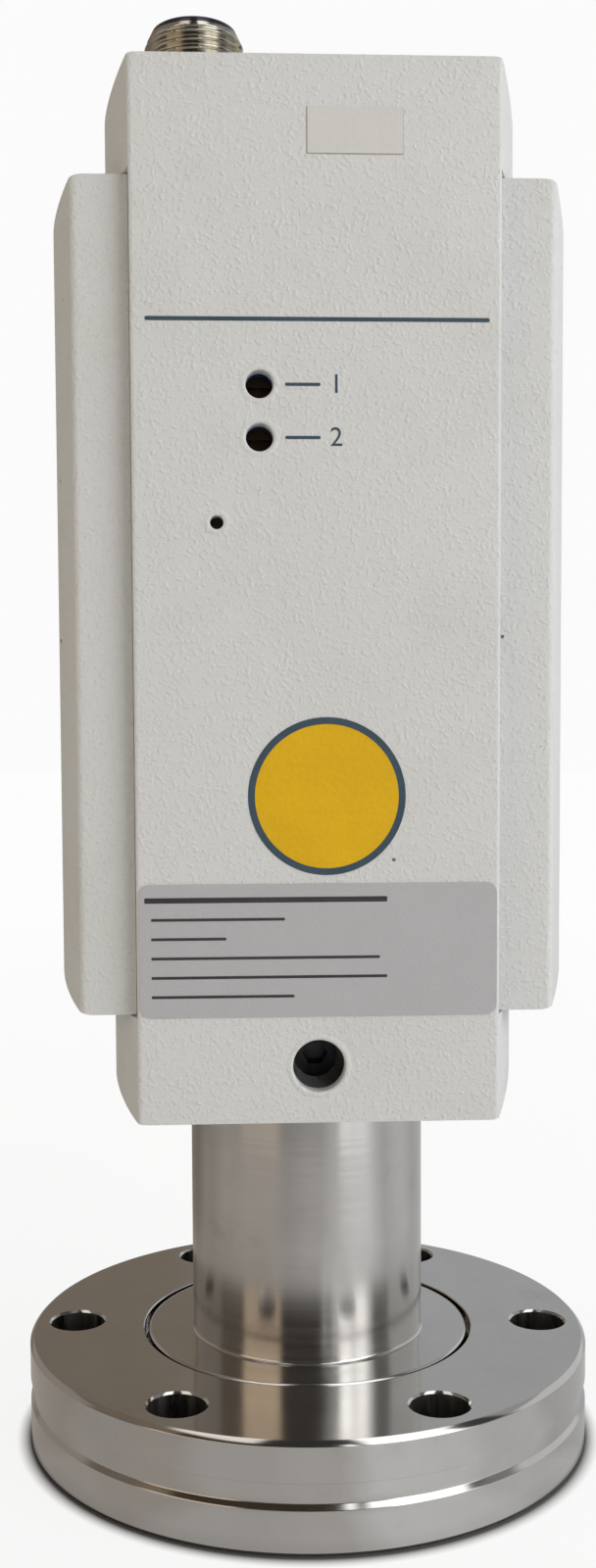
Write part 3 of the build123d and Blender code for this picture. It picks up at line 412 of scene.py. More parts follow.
def finishes(colours):
    """Every finish of the object by name."""
    steel, nickel, slate = tuple(colours.steel), tuple(colours.nickel), tuple(colours.slate)
    yellow, film, ink = tuple(colours.yellow), tuple(colours.label), tuple(colours.ink)
    return {
        "paint": paint_finish(colours),
        "flange_steel": turned_steel_finish("polished_flange_steel", colours, 0.10),
        "tube_steel": turned_steel_finish("drawn_tube_steel", colours, 0.17, 0.00035, 1.6, 0.75, 0.06),
        # Bolt-hole walls: the flange's steel darkened to 0.52, a painted shade of the holes, and rougher, as a drilled
        # bore
        "drilled_steel_painted_shade": plated_finish("drilled_steel_painted_shade", shade(steel, 0.52), 0.30, 0.10),
        "wire_steel": plated_finish("spring_steel", steel, 0.22),
        "grid_wire": plated_finish("electrode_wire", shade(steel, 0.85), 0.28),
        "filament": moulded_finish("coated_filament", (0.80, 0.78, 0.72), 0.8, 6000.0),
        "glass": bead_finish(),
        "aluminium": plated_finish("machined_aluminium", (0.60, 0.60, 0.60), 0.32, 0.05),
        "black_oxide": plated_finish("black_oxide", (0.045, 0.045, 0.048), 0.35, 0.3),
        "zinc": plated_finish("zinc_plate", (0.60, 0.62, 0.64), 0.24, 0.2),
        "board": moulded_finish("varnished_board", (0.016, 0.120, 0.045), 0.25, 900.0),
        "black": moulded_finish("black_moulding", (0.018, 0.018, 0.019), 0.45),
        "pale_moulding": moulded_finish("pale_moulding", (0.60, 0.59, 0.54), 0.5),
        "blue": moulded_finish("blue_moulding", (0.030, 0.110, 0.420), 0.4),
        "button": moulded_finish("brown_moulding", (0.110, 0.055, 0.025), 0.5),
        "brass": plated_finish("machined_brass", (0.600, 0.400, 0.150), 0.24, 0.25),
        # Trimmer rotors: brass darkened nearly to black, a painted shade at the bottom of the setpoint holes
        "rotor_brass_painted_shade": plated_finish("rotor_brass_painted_shade", (0.050, 0.034, 0.024), 0.40, 0.3),
        "nickel": plated_finish("nickel_plate", nickel, 0.13, 0.30),
        # Top rim of the connector: a dark blue-black colour, a painted reflection of a dark ceiling
        "rim_painted_reflection": plated_finish("rim_painted_dark_reflection", (0.050, 0.046, 0.066), 0.22, 0.2),
        "rubber": moulded_finish("black_rubber", (0.016, 0.016, 0.017), 0.7),
        "slate": printed_finish("slate_ink", slate, shade(slate, 1.3)),
        "yellow": printed_finish("yellow_ink", yellow, shade(yellow, 0.88)),
        "label": printed_finish("label_film", film, shade(film, 0.95), 3000.0),
        "ink": printed_finish("label_ink", ink, shade(ink, 1.6), 3000.0),
        # A dark line round the sticker: painted shadow of its edge
        "painted_sticker_shadow": printed_finish("painted_shadow_line", (0.300, 0.285, 0.255), (0.420, 0.405, 0.370), 1800.0, 0.8),
        "sticker": printed_finish("sticker_paper", (0.582, 0.580, 0.566), (0.562, 0.560, 0.546), 2200.0, 0.65),
    }


FINISH = {}

NODE_FINISH = {
    "wire_steel": ("retaining_wire", "inlet_screen", "screen_ring", "header_disc", "pirani_cell"),
    "grid_wire": ("anode_grid", "grid_posts", "filament_posts", "ion_collector", "pirani_element"),
    "filament": ("filament_1", "filament_2"),
    "glass": ("glass_beads",),
    "aluminium": ("clamp_collar",),
    "black_oxide": ("clamp_screw",),
    "zinc": ("base_screws", "housing_screws"),
    "board": ("socket_board", "power_board", "main_board", "adjust_board"),
    "black": (
        "board_link", "adjust_link", "sensor_link", "transformer", "switch_body", "capacitors", "m12_insert",
        "dsub_insert",
    ),
    "pale_moulding": ("spacer_ring",),
    "blue": ("trimmer_a_body", "trimmer_b_body"),
    "button": ("switch_button",),
    # The rotors' darkened brass is painted shade
    "rotor_brass_painted_shade": ("trimmer_a_rotor", "trimmer_b_rotor"),
    "brass": ("pin_sockets", "mid_spacers", "rear_spacers", "m12_pins", "dsub_pins"),
    "nickel": ("m12_nut", "dsub_shell", "jack_screws"),
    "rubber": ("m12_seal",),
}


# --- Pieces ---


def ring_sector(inner, outer, hole, pitch_radius, middle, counts, steps):
    """One sixth of a flat ring with a round hole, as (radius, angle) rows from the hole outwards.

    The sector is a rectangle in (radius, angle). Its border is walked in counts of points, and
    each border point is joined to the point of the hole that lies in the same direction from the
    hole's middle. The rows between them are (1-s) hole + s border.
    """
    on_outer, on_side, on_inner = counts
    half = np.pi / 6
    border_a = np.concatenate([
        np.linspace(-half, half, on_outer, endpoint=False), np.full(on_side, half),
        np.linspace(half, -half, on_inner, endpoint=False), np.full(on_side, -half),
    ])
    border_r = np.concatenate([
        np.full(on_outer, outer), np.linspace(outer, inner, on_side, endpoint=False),
        np.full(on_inner, inner), np.linspace(inner, outer, on_side, endpoint=False),
    ])
    way = np.arctan2(border_a * pitch_radius, border_r - pitch_radius)
    x = pitch_radius + hole * np.cos(way)
    y = hole * np.sin(way)
    hole_r, hole_a = np.hypot(x, y), np.arctan2(y, x)
    s = (np.linspace(0, 1, steps) ** 1.6)[:, None]
    r = (1 - s) * hole_r + s * border_r
    a = middle + (1 - s) * hole_a + s * border_a
    return r, a


class GAUGE_OT_flange_ring(bpy.types.Operator):
    """Turned flange ring with a rim groove and six bolt holes"""

    bl_idname = "gauge.flange_ring"
    bl_label = "Flange ring"

    def execute(self, context):
        s = context.scene.gauge_flange
        top, rim, chamfer = s.thickness, s.rim_radius - s.rim_chamfer, s.bolt_hole_chamfer
        mouth = s.bolt_hole_radius + chamfer
        bore_break, wall_end = 0.12 * MM, 0.6 * MM
        counts, steps = (40, 16, 24), 7
        around = sum(counts) + counts[1]
        narrow = s.bolt_hole_radius / mouth
        hollow = 0.5 + 0.5 * narrow - 0.004
        wall_rows = (
            (top, 1.0), (top - 0.5 * chamfer, hollow), (top - chamfer, narrow), (top - wall_end, narrow),
            (wall_end, narrow), (chamfer, narrow), (0.5 * chamfer, hollow), (0.0, 1.0),
        )
        parts = []
        for sixth in range(6):
            middle = s.ring_turn + sixth * np.pi / 3
            mouths = []
            for z, inner, flip in ((top, s.bore_radius, False), (0.0, s.lip_radius, True)):
                r, a = ring_sector(inner + bore_break, rim, mouth, s.bolt_circle_radius, middle, counts, steps)
                points = round_points(r, a, z)
                faces = grid_faces(len(r), around)
                parts.append((points.reshape(-1, 3), faces[:, ::-1] if flip else faces))
                mouths.append(points[0])
            axis = round_points(s.bolt_circle_radius, middle, 0.0)
            rows = []
            for z, share in wall_rows:
                row = axis + (mouths[0 if z > top / 2 else 1] - axis) * share
                row[:, 2] = z
                rows.append(row)
            parts.append((np.vstack(rows), grid_faces(len(rows), around)))
        full, deep, e = s.rim_radius, s.rim_radius - s.groove_depth, 0.06 * MM
        outer = (
            (rim, 0.0), (full - e, s.rim_chamfer - e), (full, s.rim_chamfer + e), (full, s.groove_low - e),
            (full - 0.04 * MM, s.groove_low + 0.04 * MM),
            (deep + 0.04 * MM, s.groove_low + s.groove_depth - 0.04 * MM),
            (deep, s.groove_low + s.groove_depth + e), (deep, s.groove_high),
            (full - 0.05 * MM, s.groove_high), (full, s.groove_high + 0.05 * MM),
            (full, top - s.rim_chamfer - e), (full - e, top - s.rim_chamfer + e), (rim, top),
        )
        bore, wire_low, wire_high, wire_r = s.bore_radius, 8.1 * MM, 10.3 * MM, 21.5 * MM
        inner = (
            (bore + bore_break, top), (bore, top - bore_break), (bore, wire_high), (wire_r, wire_high),
            (wire_r, wire_low), (bore, wire_low), (bore, s.lip_height), (s.lip_radius, s.lip_height),
            (s.lip_radius, bore_break), (s.lip_radius + bore_break, 0.0),
        )
        for profile, per_sixth in ((outer, counts[0]), (inner, counts[2])):
            a = s.ring_turn - np.pi / 6 + full_turn(6 * per_sixth)
            r, z = np.array(profile).T[:, :, None]
            parts.append((round_points(r, a, z).reshape(-1, 3), grid_faces(len(r), len(a))))
        points, faces = joined(parts)
        mesh = bpy.data.meshes.new("flange_ring_turned")
        mesh.from_pydata(points, [], faces)
        closed_up(mesh, 3e-7)
        piece = shown("flange_ring_turned", mesh, FINISH["flange_steel"], 25.0)
        # Faces inside the bolt holes get the darkened steel: painted shade of the holes
        mesh.materials.append(FINISH["drilled_steel_painted_shade"])
        middles = np.empty(3 * len(mesh.polygons))
        mesh.polygons.foreach_get("center", middles)
        x, y, _ = middles.reshape(-1, 3).T
        from_hole = (np.arctan2(y, x) - s.ring_turn + np.pi / 6) % (np.pi / 3) - np.pi / 6
        across, along = np.hypot(x, y) * np.sin(from_hole), np.hypot(x, y) * np.cos(from_hole)
        in_hole = np.hypot(across, along - s.bolt_circle_radius) < s.bolt_hole_radius + 0.02 * MM
        mesh.polygons.foreach_set("material_index", in_hole.astype(np.int32))
        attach(piece, "flange_ring")
        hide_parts("flange_ring")
        return {"FINISHED"}


class GAUGE_OT_sensor_steel(bpy.types.Operator):
    """Turned insert with knife edge and weld, and the sensor tube"""

    bl_idname = "gauge.sensor_steel"
    bl_label = "Insert and tube"

    def execute(self, context):
        s = context.scene.gauge_flange
        tube, bore, top = s.tube_radius, s.tube_radius - s.tube_wall, s.thickness
        weld, edge = 0.36 * MM, 0.25 * MM
        collar, lip, recess, knife, wire_floor = 20.2 * MM, 25.1 * MM, 24.15 * MM, 20.95 * MM, 19.55 * MM
        leg = np.linspace(0, np.pi / 2, 7)
        fillet = np.stack([tube + weld - weld * np.cos(leg), top + weld - weld * np.sin(leg)], axis=1)
        lower = (
            (collar - edge, top), (collar, top - edge), (collar, 10.05 * MM), (wire_floor, 10.05 * MM),
            (wire_floor, 8.35 * MM), (collar, 8.35 * MM), (collar, 5.4 * MM), (lip, 5.4 * MM), (lip, 0.0),
            (recess, 0.0), (recess, 1.825 * MM), (knife, 0.66 * MM), (knife, 2.2 * MM), (bore, 2.2 * MM),
            (bore, 6.0 * MM), (tube, 6.0 * MM),
        )
        profile = np.vstack([fillet, softened(lower, 0.07 * MM)])[::-1]
        piece = mesh_piece("insert_turned", *turned(profile, 288), FINISH["flange_steel"], 30.0)
        closed_up(piece.data, 1e-7)
        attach(piece, "gauge")
        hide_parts("flange_insert")
        low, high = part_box("sensor_tube")
        groove, groove_low, groove_high = tube - 0.4 * MM, 48.1 * MM, 53.7 * MM
        wall = (
            (tube, low.z), (tube, groove_low), (groove, groove_low), (groove, groove_high), (tube, groove_high),
            (tube, high.z), (bore, high.z), (bore, low.z),
        )
        piece = mesh_piece("tube_drawn", *turned(softened(wall, 0.1 * MM), 288), FINISH["tube_steel"], 30.0)
        closed_up(piece.data, 1e-7)
        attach(piece, "gauge")
        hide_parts("sensor_tube")
        return {"FINISHED"}


def softened_copy(node, name, finish, width, segments=3):
    """A merged copy of a solid's mesh whose sharp edges are rounded by a live bevel."""
    mesh = NODES[node].data.copy()
    mesh.name = name
    shape = bmesh.new()
    shape.from_mesh(mesh)
    bmesh.ops.remove_doubles(shape, verts=shape.verts, dist=2e-6)
    bmesh.ops.dissolve_limit(shape, angle_limit=math.radians(0.6), verts=shape.verts, edges=shape.edges)
    shape.to_mesh(mesh)
    shape.free()
    piece = shown(name, mesh, finish, 40.0)
    edge = piece.modifiers.new("painted_edge", "BEVEL")
    edge.limit_method = "ANGLE"
    edge.angle_limit = math.radians(38)
    edge.width = width
    edge.segments = segments
    edge.harden_normals = True
    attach(piece, "gauge")
    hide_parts(node)
    return piece


class GAUGE_OT_housing(bpy.types.Operator):
    """Painted shells, side covers and end plates with rounded edges"""

    bl_idname = "gauge.housing"
    bl_label = "Housing"

    edge: FloatProperty(name="Edge", description="Rounding of a painted edge", default=0.35 * MM, unit="LENGTH")

    def execute(self, context):
        for node in ("front_shell", "rear_shell", "left_cover", "right_cover"):
            piece = softened_copy(node, node + "_painted", FINISH["paint"], self.edge)
        for node in ("base_plate", "top_plate"):
            piece = softened_copy(node, node + "_finished", FINISH["aluminium"], 0.12 * MM, 2)
        return {"FINISHED"}


def paint_build_up(x, z, radius, front_y):
    """Points and faces of the thick lip that powder paint leaves round a punched hole.

    A small closed profile of (distance from the hole's middle, depth behind the panel) is turned
    about an axis that runs into the panel.
    """
    lip = np.array([(0.0, 0.7), (0.0, 0.16), (0.10, 0.0), (0.30, -0.07), (0.55, -0.04), (0.80, 0.02), (0.78, 0.30)])
    profile = softened(lip * MM + (radius - 0.03 * MM, 0.0), 0.12 * MM, 5)
    points, faces = turned(profile, 96, (x, z))
    return points[:, [0, 2, 1]] + (0.0, front_y, 0.0), faces


class GAUGE_OT_hole_edges(bpy.types.Operator):
    """Paint that stands up round the four holes of the front panel"""

    bl_idname = "gauge.hole_edges"
    bl_label = "Hole edges"

    def execute(self, context):
        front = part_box("front_shell")[0].y
        holes = ((0.0, 50.9, 2.9), (-6.15, 124.7, 1.5), (-6.15, 119.1, 1.5), (-10.8, 110.1, 0.75))
        parts = [paint_build_up(x * MM, z * MM, r * MM, front) for x, z, r in holes]
        piece = mesh_piece("hole_edges", *joined(parts), FINISH["paint"], 60.0)
        closed_up(piece.data, 1e-8)
        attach(piece, "gauge")
        return {"FINISHED"}


class GAUGE_OT_round_connector(bpy.types.Operator):
    """Threaded barrel of the round connector"""

    bl_idname = "gauge.round_connector"
    bl_label = "Round connector"

    columns: IntProperty(name="Columns", description="Points round the thread", default=144, min=24)

    def execute(self, context):
        s = context.scene.gauge_connector
        thread, rim, bore = s.thread_radius, s.rim_radius, s.bore_radius
        low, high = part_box("m12_shell")
        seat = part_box("top_plate")[1].z
        flange_top, cone_low, flange_r = seat + 2.6 * MM, high.z - 2.0 * MM, thread + 1.0 * MM
        below = (
            (bore, high.z - 0.15 * MM), (bore, low.z), (thread - 0.2 * MM, low.z),
            (thread - 0.15 * MM, low.z + 0.15 * MM), (thread, seat - 0.01 * MM), (thread, seat + 0.6 * MM),
            (thread + 0.6 * MM, seat + 0.6 * MM), (thread + 0.6 * MM, seat), (flange_r - 0.15 * MM, seat),
            (flange_r, seat + 0.15 * MM), (flange_r, flange_top - 0.25 * MM),
            (flange_r - 0.08 * MM, flange_top - 0.08 * MM), (flange_r - 0.25 * MM, flange_top), (thread, flange_top),
        )
        threaded = np.arange(flange_top + 0.15 * MM, high.z - 0.25 * MM, s.thread_pitch / 12)
        above = ((rim + 0.05 * MM, high.z - 0.1 * MM), (rim - 0.1 * MM, high.z), (bore + 0.15 * MM, high.z))
        r, z = np.vstack([below, np.column_stack([np.full(len(threaded), thread), threaded]), above]).T
        a = full_turn(self.columns)
        # The thread: radius falls by depth times a rounded wave of (height / pitch - turn), fading out
        # at its foot, and the run-in cone cuts its crests.
        turn = z[:, None] / s.thread_pitch - a / (2 * np.pi)
        wave = (0.5 - 0.5 * np.cos(2 * np.pi * turn)) ** 0.8
        is_thread = np.zeros((len(z), 1))
        is_thread[len(below):len(below) + len(threaded)] = 1.0
        foot = np.clip((z - flange_top - 0.4 * MM) / (0.8 * MM), 0, 1)
        radius = r[:, None] - s.thread_depth * wave * (is_thread * foot[:, None])
        cone = thread - (thread - rim) / (high.z - cone_low) * (z - cone_low)
        radius = np.where(is_thread > 0, np.minimum(radius, cone[:, None]), radius)
        points = round_points(radius, a, z[:, None], (-s.axis_x, -s.axis_y))
        faces = grid_faces(len(z), self.columns, wrap_rows=True)
        piece = mesh_piece("barrel_threaded", points.reshape(-1, 3), faces, FINISH["nickel"], 40.0)
        # The last 0.75 mm of the barrel's top gets the dark rim colour: a painted dark reflection
        piece.data.materials.append(FINISH["rim_painted_reflection"])
        rim_rows = (z[:-1] > high.z - 0.75 * MM) & (np.arange(len(z) - 1) >= len(below))
        in_rim = np.append(rim_rows, False).repeat(self.columns)
        piece.data.polygons.foreach_set("material_index", in_rim.astype(np.int32))
        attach(piece, "gauge")
        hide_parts("m12_shell")
        return {"FINISHED"}


def disc_outline(x, z, radius, steps=96):
    """Outline of a disc seen from the front."""
    return round_points(radius, full_turn(steps), 0.0, (x, z))[:, :2]


def ring_plate(x, z, outer, inner, front_y, thickness, steps=96):
    """Points and faces of a thin flat ring that stands on the panel."""
    face = front_y - thickness
    points, faces = turned(((inner, face), (outer, face), (outer, front_y), (inner, front_y)), steps, (x, z))
    return points[:, [0, 2, 1]], faces


def numeral(name, text, x, z, height, front_y, thickness, finish):
    """A printed numeral as a thin mesh that stands on the panel."""
    curve = bpy.data.curves.new(name, "FONT")
    curve.body = text
    curve.size = height * 1.37
    curve.align_x, curve.align_y = "CENTER", "CENTER"
    curve.extrude = thickness / 2
    curve.resolution_u = 6
    maker = bpy.data.objects.new(name + "_maker", curve)
    bpy.context.scene.collection.objects.link(maker)
    bpy.context.view_layer.update()
    mesh = bpy.data.meshes.new_from_object(maker.evaluated_get(bpy.context.evaluated_depsgraph_get()))
    bpy.data.objects.remove(maker)
    mesh.name = name
    mesh.transform(Matrix.Translation((x, front_y - thickness / 2, z)) @ Matrix.Rotation(math.pi / 2, 4, "X"))
    closed_up(mesh, 1e-7)
    return shown(name, mesh, finish, 30.0)


class GAUGE_OT_panel_print(bpy.types.Operator):
    """Print on the front panel: a rule, two numerals with their lines, and a round field with a ring"""

    bl_idname = "gauge.panel_print"
    bl_label = "Panel print"

    thickness: FloatProperty(name="Ink", description="Thickness of the ink", default=0.02 * MM, unit="LENGTH")
    field_radius: FloatProperty(name="Field", description="Radius of the round field", default=8.6 * MM, unit="LENGTH")

    def execute(self, context):
        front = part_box("front_shell")[0].y
        t = self.thickness
        x, z = 0.95 * MM, 80.6 * MM
        field = mesh_piece(
            "round_field", *thin_plate(disc_outline(x, z, self.field_radius - 0.35 * MM), front, t), FINISH["yellow"]
        )
        ring = mesh_piece(
            "field_ring", *ring_plate(x, z, self.field_radius, self.field_radius - 0.75 * MM, front, 1.8 * t),
            FINISH["slate"],
        )
        bars = ((-18.3, 18.6, 131.3, 131.75, 0.2), (-3.4, 0.4, 124.5, 124.85, 0.15), (-3.4, 0.4, 118.9, 119.25, 0.15))
        plates = [thin_plate(rounded_bar(*(v * MM for v in bar)), front, t) for bar in bars]
        rules = mesh_piece("panel_rules", *joined(plates), FINISH["slate"])
        closed_up(ring.data, 1e-8)
        one = numeral("numeral_one", "1", 2.1 * MM, 124.65 * MM, 2.1 * MM, front, t, FINISH["slate"])
        two = numeral("numeral_two", "2", 2.1 * MM, 119.05 * MM, 2.1 * MM, front, t, FINISH["slate"])
        for piece in (field, ring, rules, one, two):
            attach(piece, "gauge")
        return {"FINISHED"}


class GAUGE_OT_labels(bpy.types.Operator):
    """Grey rating label with ruled lines, and the small white sticker with a painted shadow line at its left and foot
    """

    bl_idname = "gauge.labels"
    bl_label = "Labels"

    def execute(self, context):
        low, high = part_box("rating_label")
        outline = rounded_bar(low.x, high.x, low.z, high.z, 1.2 * MM, 12)
        label = mesh_piece("label_film", *thin_plate(outline, high.y, high.y - low.y), FINISH["label"], 30.0)
        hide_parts("rating_label")
        plates = []
        for i, width in enumerate((26.5, 14.6, 8.2, 25.0, 25.8, 15.6)):
            start, half = (0.6, 0.30 * MM) if i == 0 else (1.3, 0.16 * MM)
            z = high.z - (1.75 + 2.12 * i) * MM
            row = rounded_bar(low.x + start * MM, low.x + (start + width) * MM, z - half, z + half, 0.12 * MM)
            plates.append(thin_plate(row, low.y, 0.012 * MM))
        rules = mesh_piece("label_rules", *joined(plates), FINISH["ink"])
        low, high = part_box("marking_sticker")
        outline = rounded_bar(low.x, high.x, low.z, high.z, 0.12 * MM, 3)
        sticker = mesh_piece("sticker_paper", *thin_plate(outline, high.y, high.y - low.y), FINISH["sticker"], 30.0)
        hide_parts("marking_sticker")
        # A dark line round the sticker, wider at its left and foot: a painted shadow of the sticker's edge
        grow = 0.13 * MM
        outline = rounded_bar(low.x - grow, high.x + 0.4 * grow, low.z - grow, high.z + 0.2 * grow, 0.2 * MM, 4)
        painted_sticker_shadow = mesh_piece("sticker_painted_shadow", *thin_plate(outline, high.y, 0.02 * MM), FINISH["painted_sticker_shadow"], 30.0)
        for piece in (label, rules, sticker, painted_sticker_shadow):
            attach(piece, "gauge")
        return {"FINISHED"}


class GAUGE_OT_solids(bpy.types.Operator):
    """Finishes of the solids that show as they are, and dark hexagons on the rear screws' heads, painted shade of
    their sockets
    """

    bl_idname = "gauge.solids"
    bl_label = "Inner pieces"

    def execute(self, context):
        for finish, names in NODE_FINISH.items():
            for name in names:
                mesh = NODES[name].data
                mesh.materials.clear()
                mesh.materials.append(FINISH[finish])
        low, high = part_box("housing_screws")
        head_radius, socket_radius = 2.9 * MM, 1.15 * MM
        hexagon = disc_outline(0.0, 0.0, socket_radius, 6)
        across = (low.x + head_radius, high.x - head_radius)
        spots = [(x, z) for x in across for z in (low.z + head_radius, high.z - head_radius)]
        # Flat black hexagons on the zinc heads stand in for the sockets' recesses: painted shade
        plates = [thin_plate(hexagon + spot, high.y + 0.02 * MM, 0.04 * MM) for spot in spots]
        sockets = mesh_piece("screw_socket_shade", *joined(plates), FINISH["black_oxide"])
        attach(sockets, "gauge")
        return {"FINISHED"}


# --- Stage ---


def lamp(name, place, aim_height, size, watts, tone):
    """A soft rectangular lamp aimed at the axis, which neither the camera nor a reflection sees."""
    data = bpy.data.lights.new(name, "AREA")
    data.shape = "RECTANGLE"
    data.size, data.size_y = size
    data.energy = watts
    data.color = tone
    made = bpy.data.objects.new(name, data)
    made.location = place
    made.rotation_euler = (Vector((0, 0, aim_height)) - Vector(place)).to_track_quat("-Z", "Y").to_euler()
    made.visible_camera = made.visible_glossy = False
    bpy.context.scene.collection.objects.link(made)


def glowing(name, points, faces, glow):
    """A stage mesh that only reflections see, with its own light at every point.

    The light is an array of red, green and blue, one row for each point.
    """
    mesh = bpy.data.meshes.new(name)
    mesh.from_pydata(points, [], faces)
    light = mesh.attributes.new("glow", "FLOAT_COLOR", "POINT")
    light.data.foreach_set("color", np.column_stack([glow, np.ones(len(glow))]).ravel().astype(np.float32))
    material = bpy.data.materials.new(name)
    nodes = NodeTree(material)
    read = nodes.node("ShaderNodeAttribute", attribute_name="glow")
    shine = nodes.node("ShaderNodeEmission", {"Color": read.outputs["Color"]})
    nodes.node("ShaderNodeOutputMaterial", {"Surface": shine.outputs[0]})
    mesh.materials.append(material)
    made = bpy.data.objects.new(name, mesh)
    bpy.context.scene.collection.objects.link(made)
    made.visible_camera = made.visible_diffuse = made.visible_shadow = False
    made.visible_transmission = made.visible_volume_scatter = False


def light_round(strips, soft=5):
    """Light of strips that stand side by side round the object, one value a degree from -180.

    A strip is (its last degree, light, warmth). Zero is in front of the panel and positive angles
    are to its right. Warmth takes blue away, and half as much green. The borders are blurred over
    soft degrees.
    """
    ends, light, warmth = np.asarray(strips, float).T
    at = np.searchsorted(ends, np.arange(-180, 180), side="right")
    tone = light[at, None] * np.stack([np.ones(360), 1 - warmth[at] / 2, 1 - warmth[at]], axis=1)
    return sum(np.roll(tone, k - soft // 2, axis=0) for k in range(soft)) / soft


# Strips of the studio's walls as low pieces see them: warm wall, beige screen, dark doorway,
# window with a bar, dark gap, pale wall, back wall
LOW_WALLS = (
    (-150, 0.25, 0.32), (-98, 0.38, 0.22), (-68, 0.21, 0.32), (-29, 1.20, 0.42), (17, 0.08, 0.15), (29, 0.50, 0.0),
    (40, 3.2, -0.02), (47, 2.2, -0.02), (58, 2.9, -0.02), (65, 1.3, 0.0), (86, 0.30, 0.05), (150, 0.80, 0.0),
    (180, 0.50, -0.05),
)
# The same walls higher up, as the connector sees them, and near the ceiling, as chamfers do
HIGH_WALLS = (
    (-60, 0.24, 0.40), (13, 0.055, 0.50), (17, 2.4, 0.0), (22, 0.07, 0.10), (64, 2.2, 0.0), (84, 0.06, 0.10),
    (180, 0.45, 0.0),
)
CEILING = ((-71, 0.25, 0.10), (-27, 1.3, 0.14), (23, 0.04, 0.0), (70, 2.0, 0.0), (95, 0.18, 0.0), (180, 0.32, 0.0))
# The table away from the object, and close to its foot
FAR_TABLE = (
    (-125, 0.24, 0.25), (-95, 0.38, 0.20), (-40, 0.47, 0.14), (-10, 0.47, 0.10), (18, 0.57, 0.06), (34, 0.68, 0.02),
    (66, 0.86, 0.0), (84, 0.62, 0.0), (110, 0.70, 0.0), (180, 0.56, 0.0),
)
NEAR_TABLE = (
    (-75, 0.40, 0.18), (-35, 0.45, 0.14), (-8, 0.53, 0.08), (10, 0.57, 0.05), (30, 0.78, 0.0), (44, 0.76, 0.0),
    (70, 0.66, 0.0), (180, 0.54, 0.0),
)


def light_path_share(nodes):
    """1 where a camera, glossy or transmission ray looks, else 0."""
    path = nodes.node("ShaderNodeLightPath").outputs
    either = nodes.maths("MAXIMUM", path["Is Camera Ray"], path["Is Glossy Ray"])
    return nodes.maths("MAXIMUM", either, path["Is Transmission Ray"])


def studio_world():
    """A world that looks nearly white and fills the shade with a dimmer, warmer light."""
    world = bpy.data.worlds.new("studio")
    nodes = NodeTree(world)
    seen = nodes.node("ShaderNodeBackground", {"Color": (0.965, 0.965, 0.965, 1.0)})
    fill = nodes.node("ShaderNodeBackground", {"Color": (1.0, 0.97, 0.92, 1.0), "Strength": 0.34})
    both = nodes.node("ShaderNodeMixShader", {0: light_path_share(nodes), 1: fill.outputs[0], 2: seen.outputs[0]})
    nodes.node("ShaderNodeOutputWorld", {"Surface": both.outputs[0]})
    return world


def pale_floor():
    """A floor that looks white away from the object, keeps its shadow and has a painted contact shadow, dark where it
    touches.
    """
    back = 1.2
    bpy.ops.mesh.primitive_plane_add(size=6.0, location=(0, back, 0))
    floor = bpy.context.object
    floor.name = "floor"
    material = bpy.data.materials.new("pale_floor")
    nodes = NodeTree(material)
    place = nodes.node("ShaderNodeTexCoord").outputs["Object"]
    away = nodes.node("ShaderNodeVectorMath", {0: place, 1: (0.0, -back, 0.0)}, operation="DISTANCE").outputs["Value"]
    white = nodes.spread(away, 0.05, 0.60, 0.86, 0.965)
    # Painted contact shadow: within 1.8 mm of the flange's foot the floor's colour falls to 0.10 and its white glow is
    # cut, so a dark line shows under the rim
    foot = nodes.spread(away, 0.0350, 0.0368)
    tone = nodes.mixed(foot, (0.10, 0.10, 0.10), (0.80, 0.80, 0.80))
    cover = nodes.node("ShaderNodeBsdfPrincipled", {"Base Color": tone, "Roughness": 0.9})
    glow = nodes.node("ShaderNodeEmission", {"Color": (1.0, 1.0, 1.0, 1.0)})
    weight = nodes.maths("MULTIPLY", nodes.maths("MULTIPLY", light_path_share(nodes), foot), white)
    both = nodes.node("ShaderNodeMixShader", {0: weight, 1: cover.outputs[0], 2: glow.outputs[0]})
    nodes.node("ShaderNodeOutputMaterial", {"Surface": both.outputs[0]})
    floor.data.materials.append(material)
    return floor


def reflections():
    """The studio's walls and table as rings of (radius, height) round the object, lit by their strips."""
    angle = np.radians(np.arange(-180, 180))
    ring = np.stack([np.sin(angle), -np.cos(angle)], axis=1)
    low, high, top = light_round(LOW_WALLS), light_round(HIGH_WALLS, 3), light_round(CEILING)
    near, far = light_round(NEAR_TABLE, 9), light_round(FAR_TABLE, 17)
    pale = np.full_like(low, 0.55)
    walls = (
        (1.30, 0.0, low), (1.30, 0.66, low), (1.30, 0.70, high), (1.30, 1.3, high), (1.30, 1.5, top),
        (1.25, 2.7, top), (0.40, 2.9, top), (0.34, 2.9, pale), (0.01, 2.9, pale),
    )
    # The two innermost table rings, just outside the flange's foot, glow at 0.45 and 0.9 of the near table: a painted
    # shadow of the flange on the table, seen in its rim
    radii = (35.2, 35.9, 40.0, 62.0, 95.0, 1290.0)
    table = [(r * MM, 0.1 * MM, light) for r, light in zip(radii, (0.45 * near, 0.9 * near, near, near, far, far))]
    for name, rows in (("studio_walls", walls), ("table_glow", table)):
        points = np.concatenate([np.column_stack([r * ring, np.full(len(ring), z)]) for r, z, light in rows])
        glow = np.concatenate([light for r, z, light in rows])
        glowing(name, points, grid_faces(len(rows), len(ring)), glow)


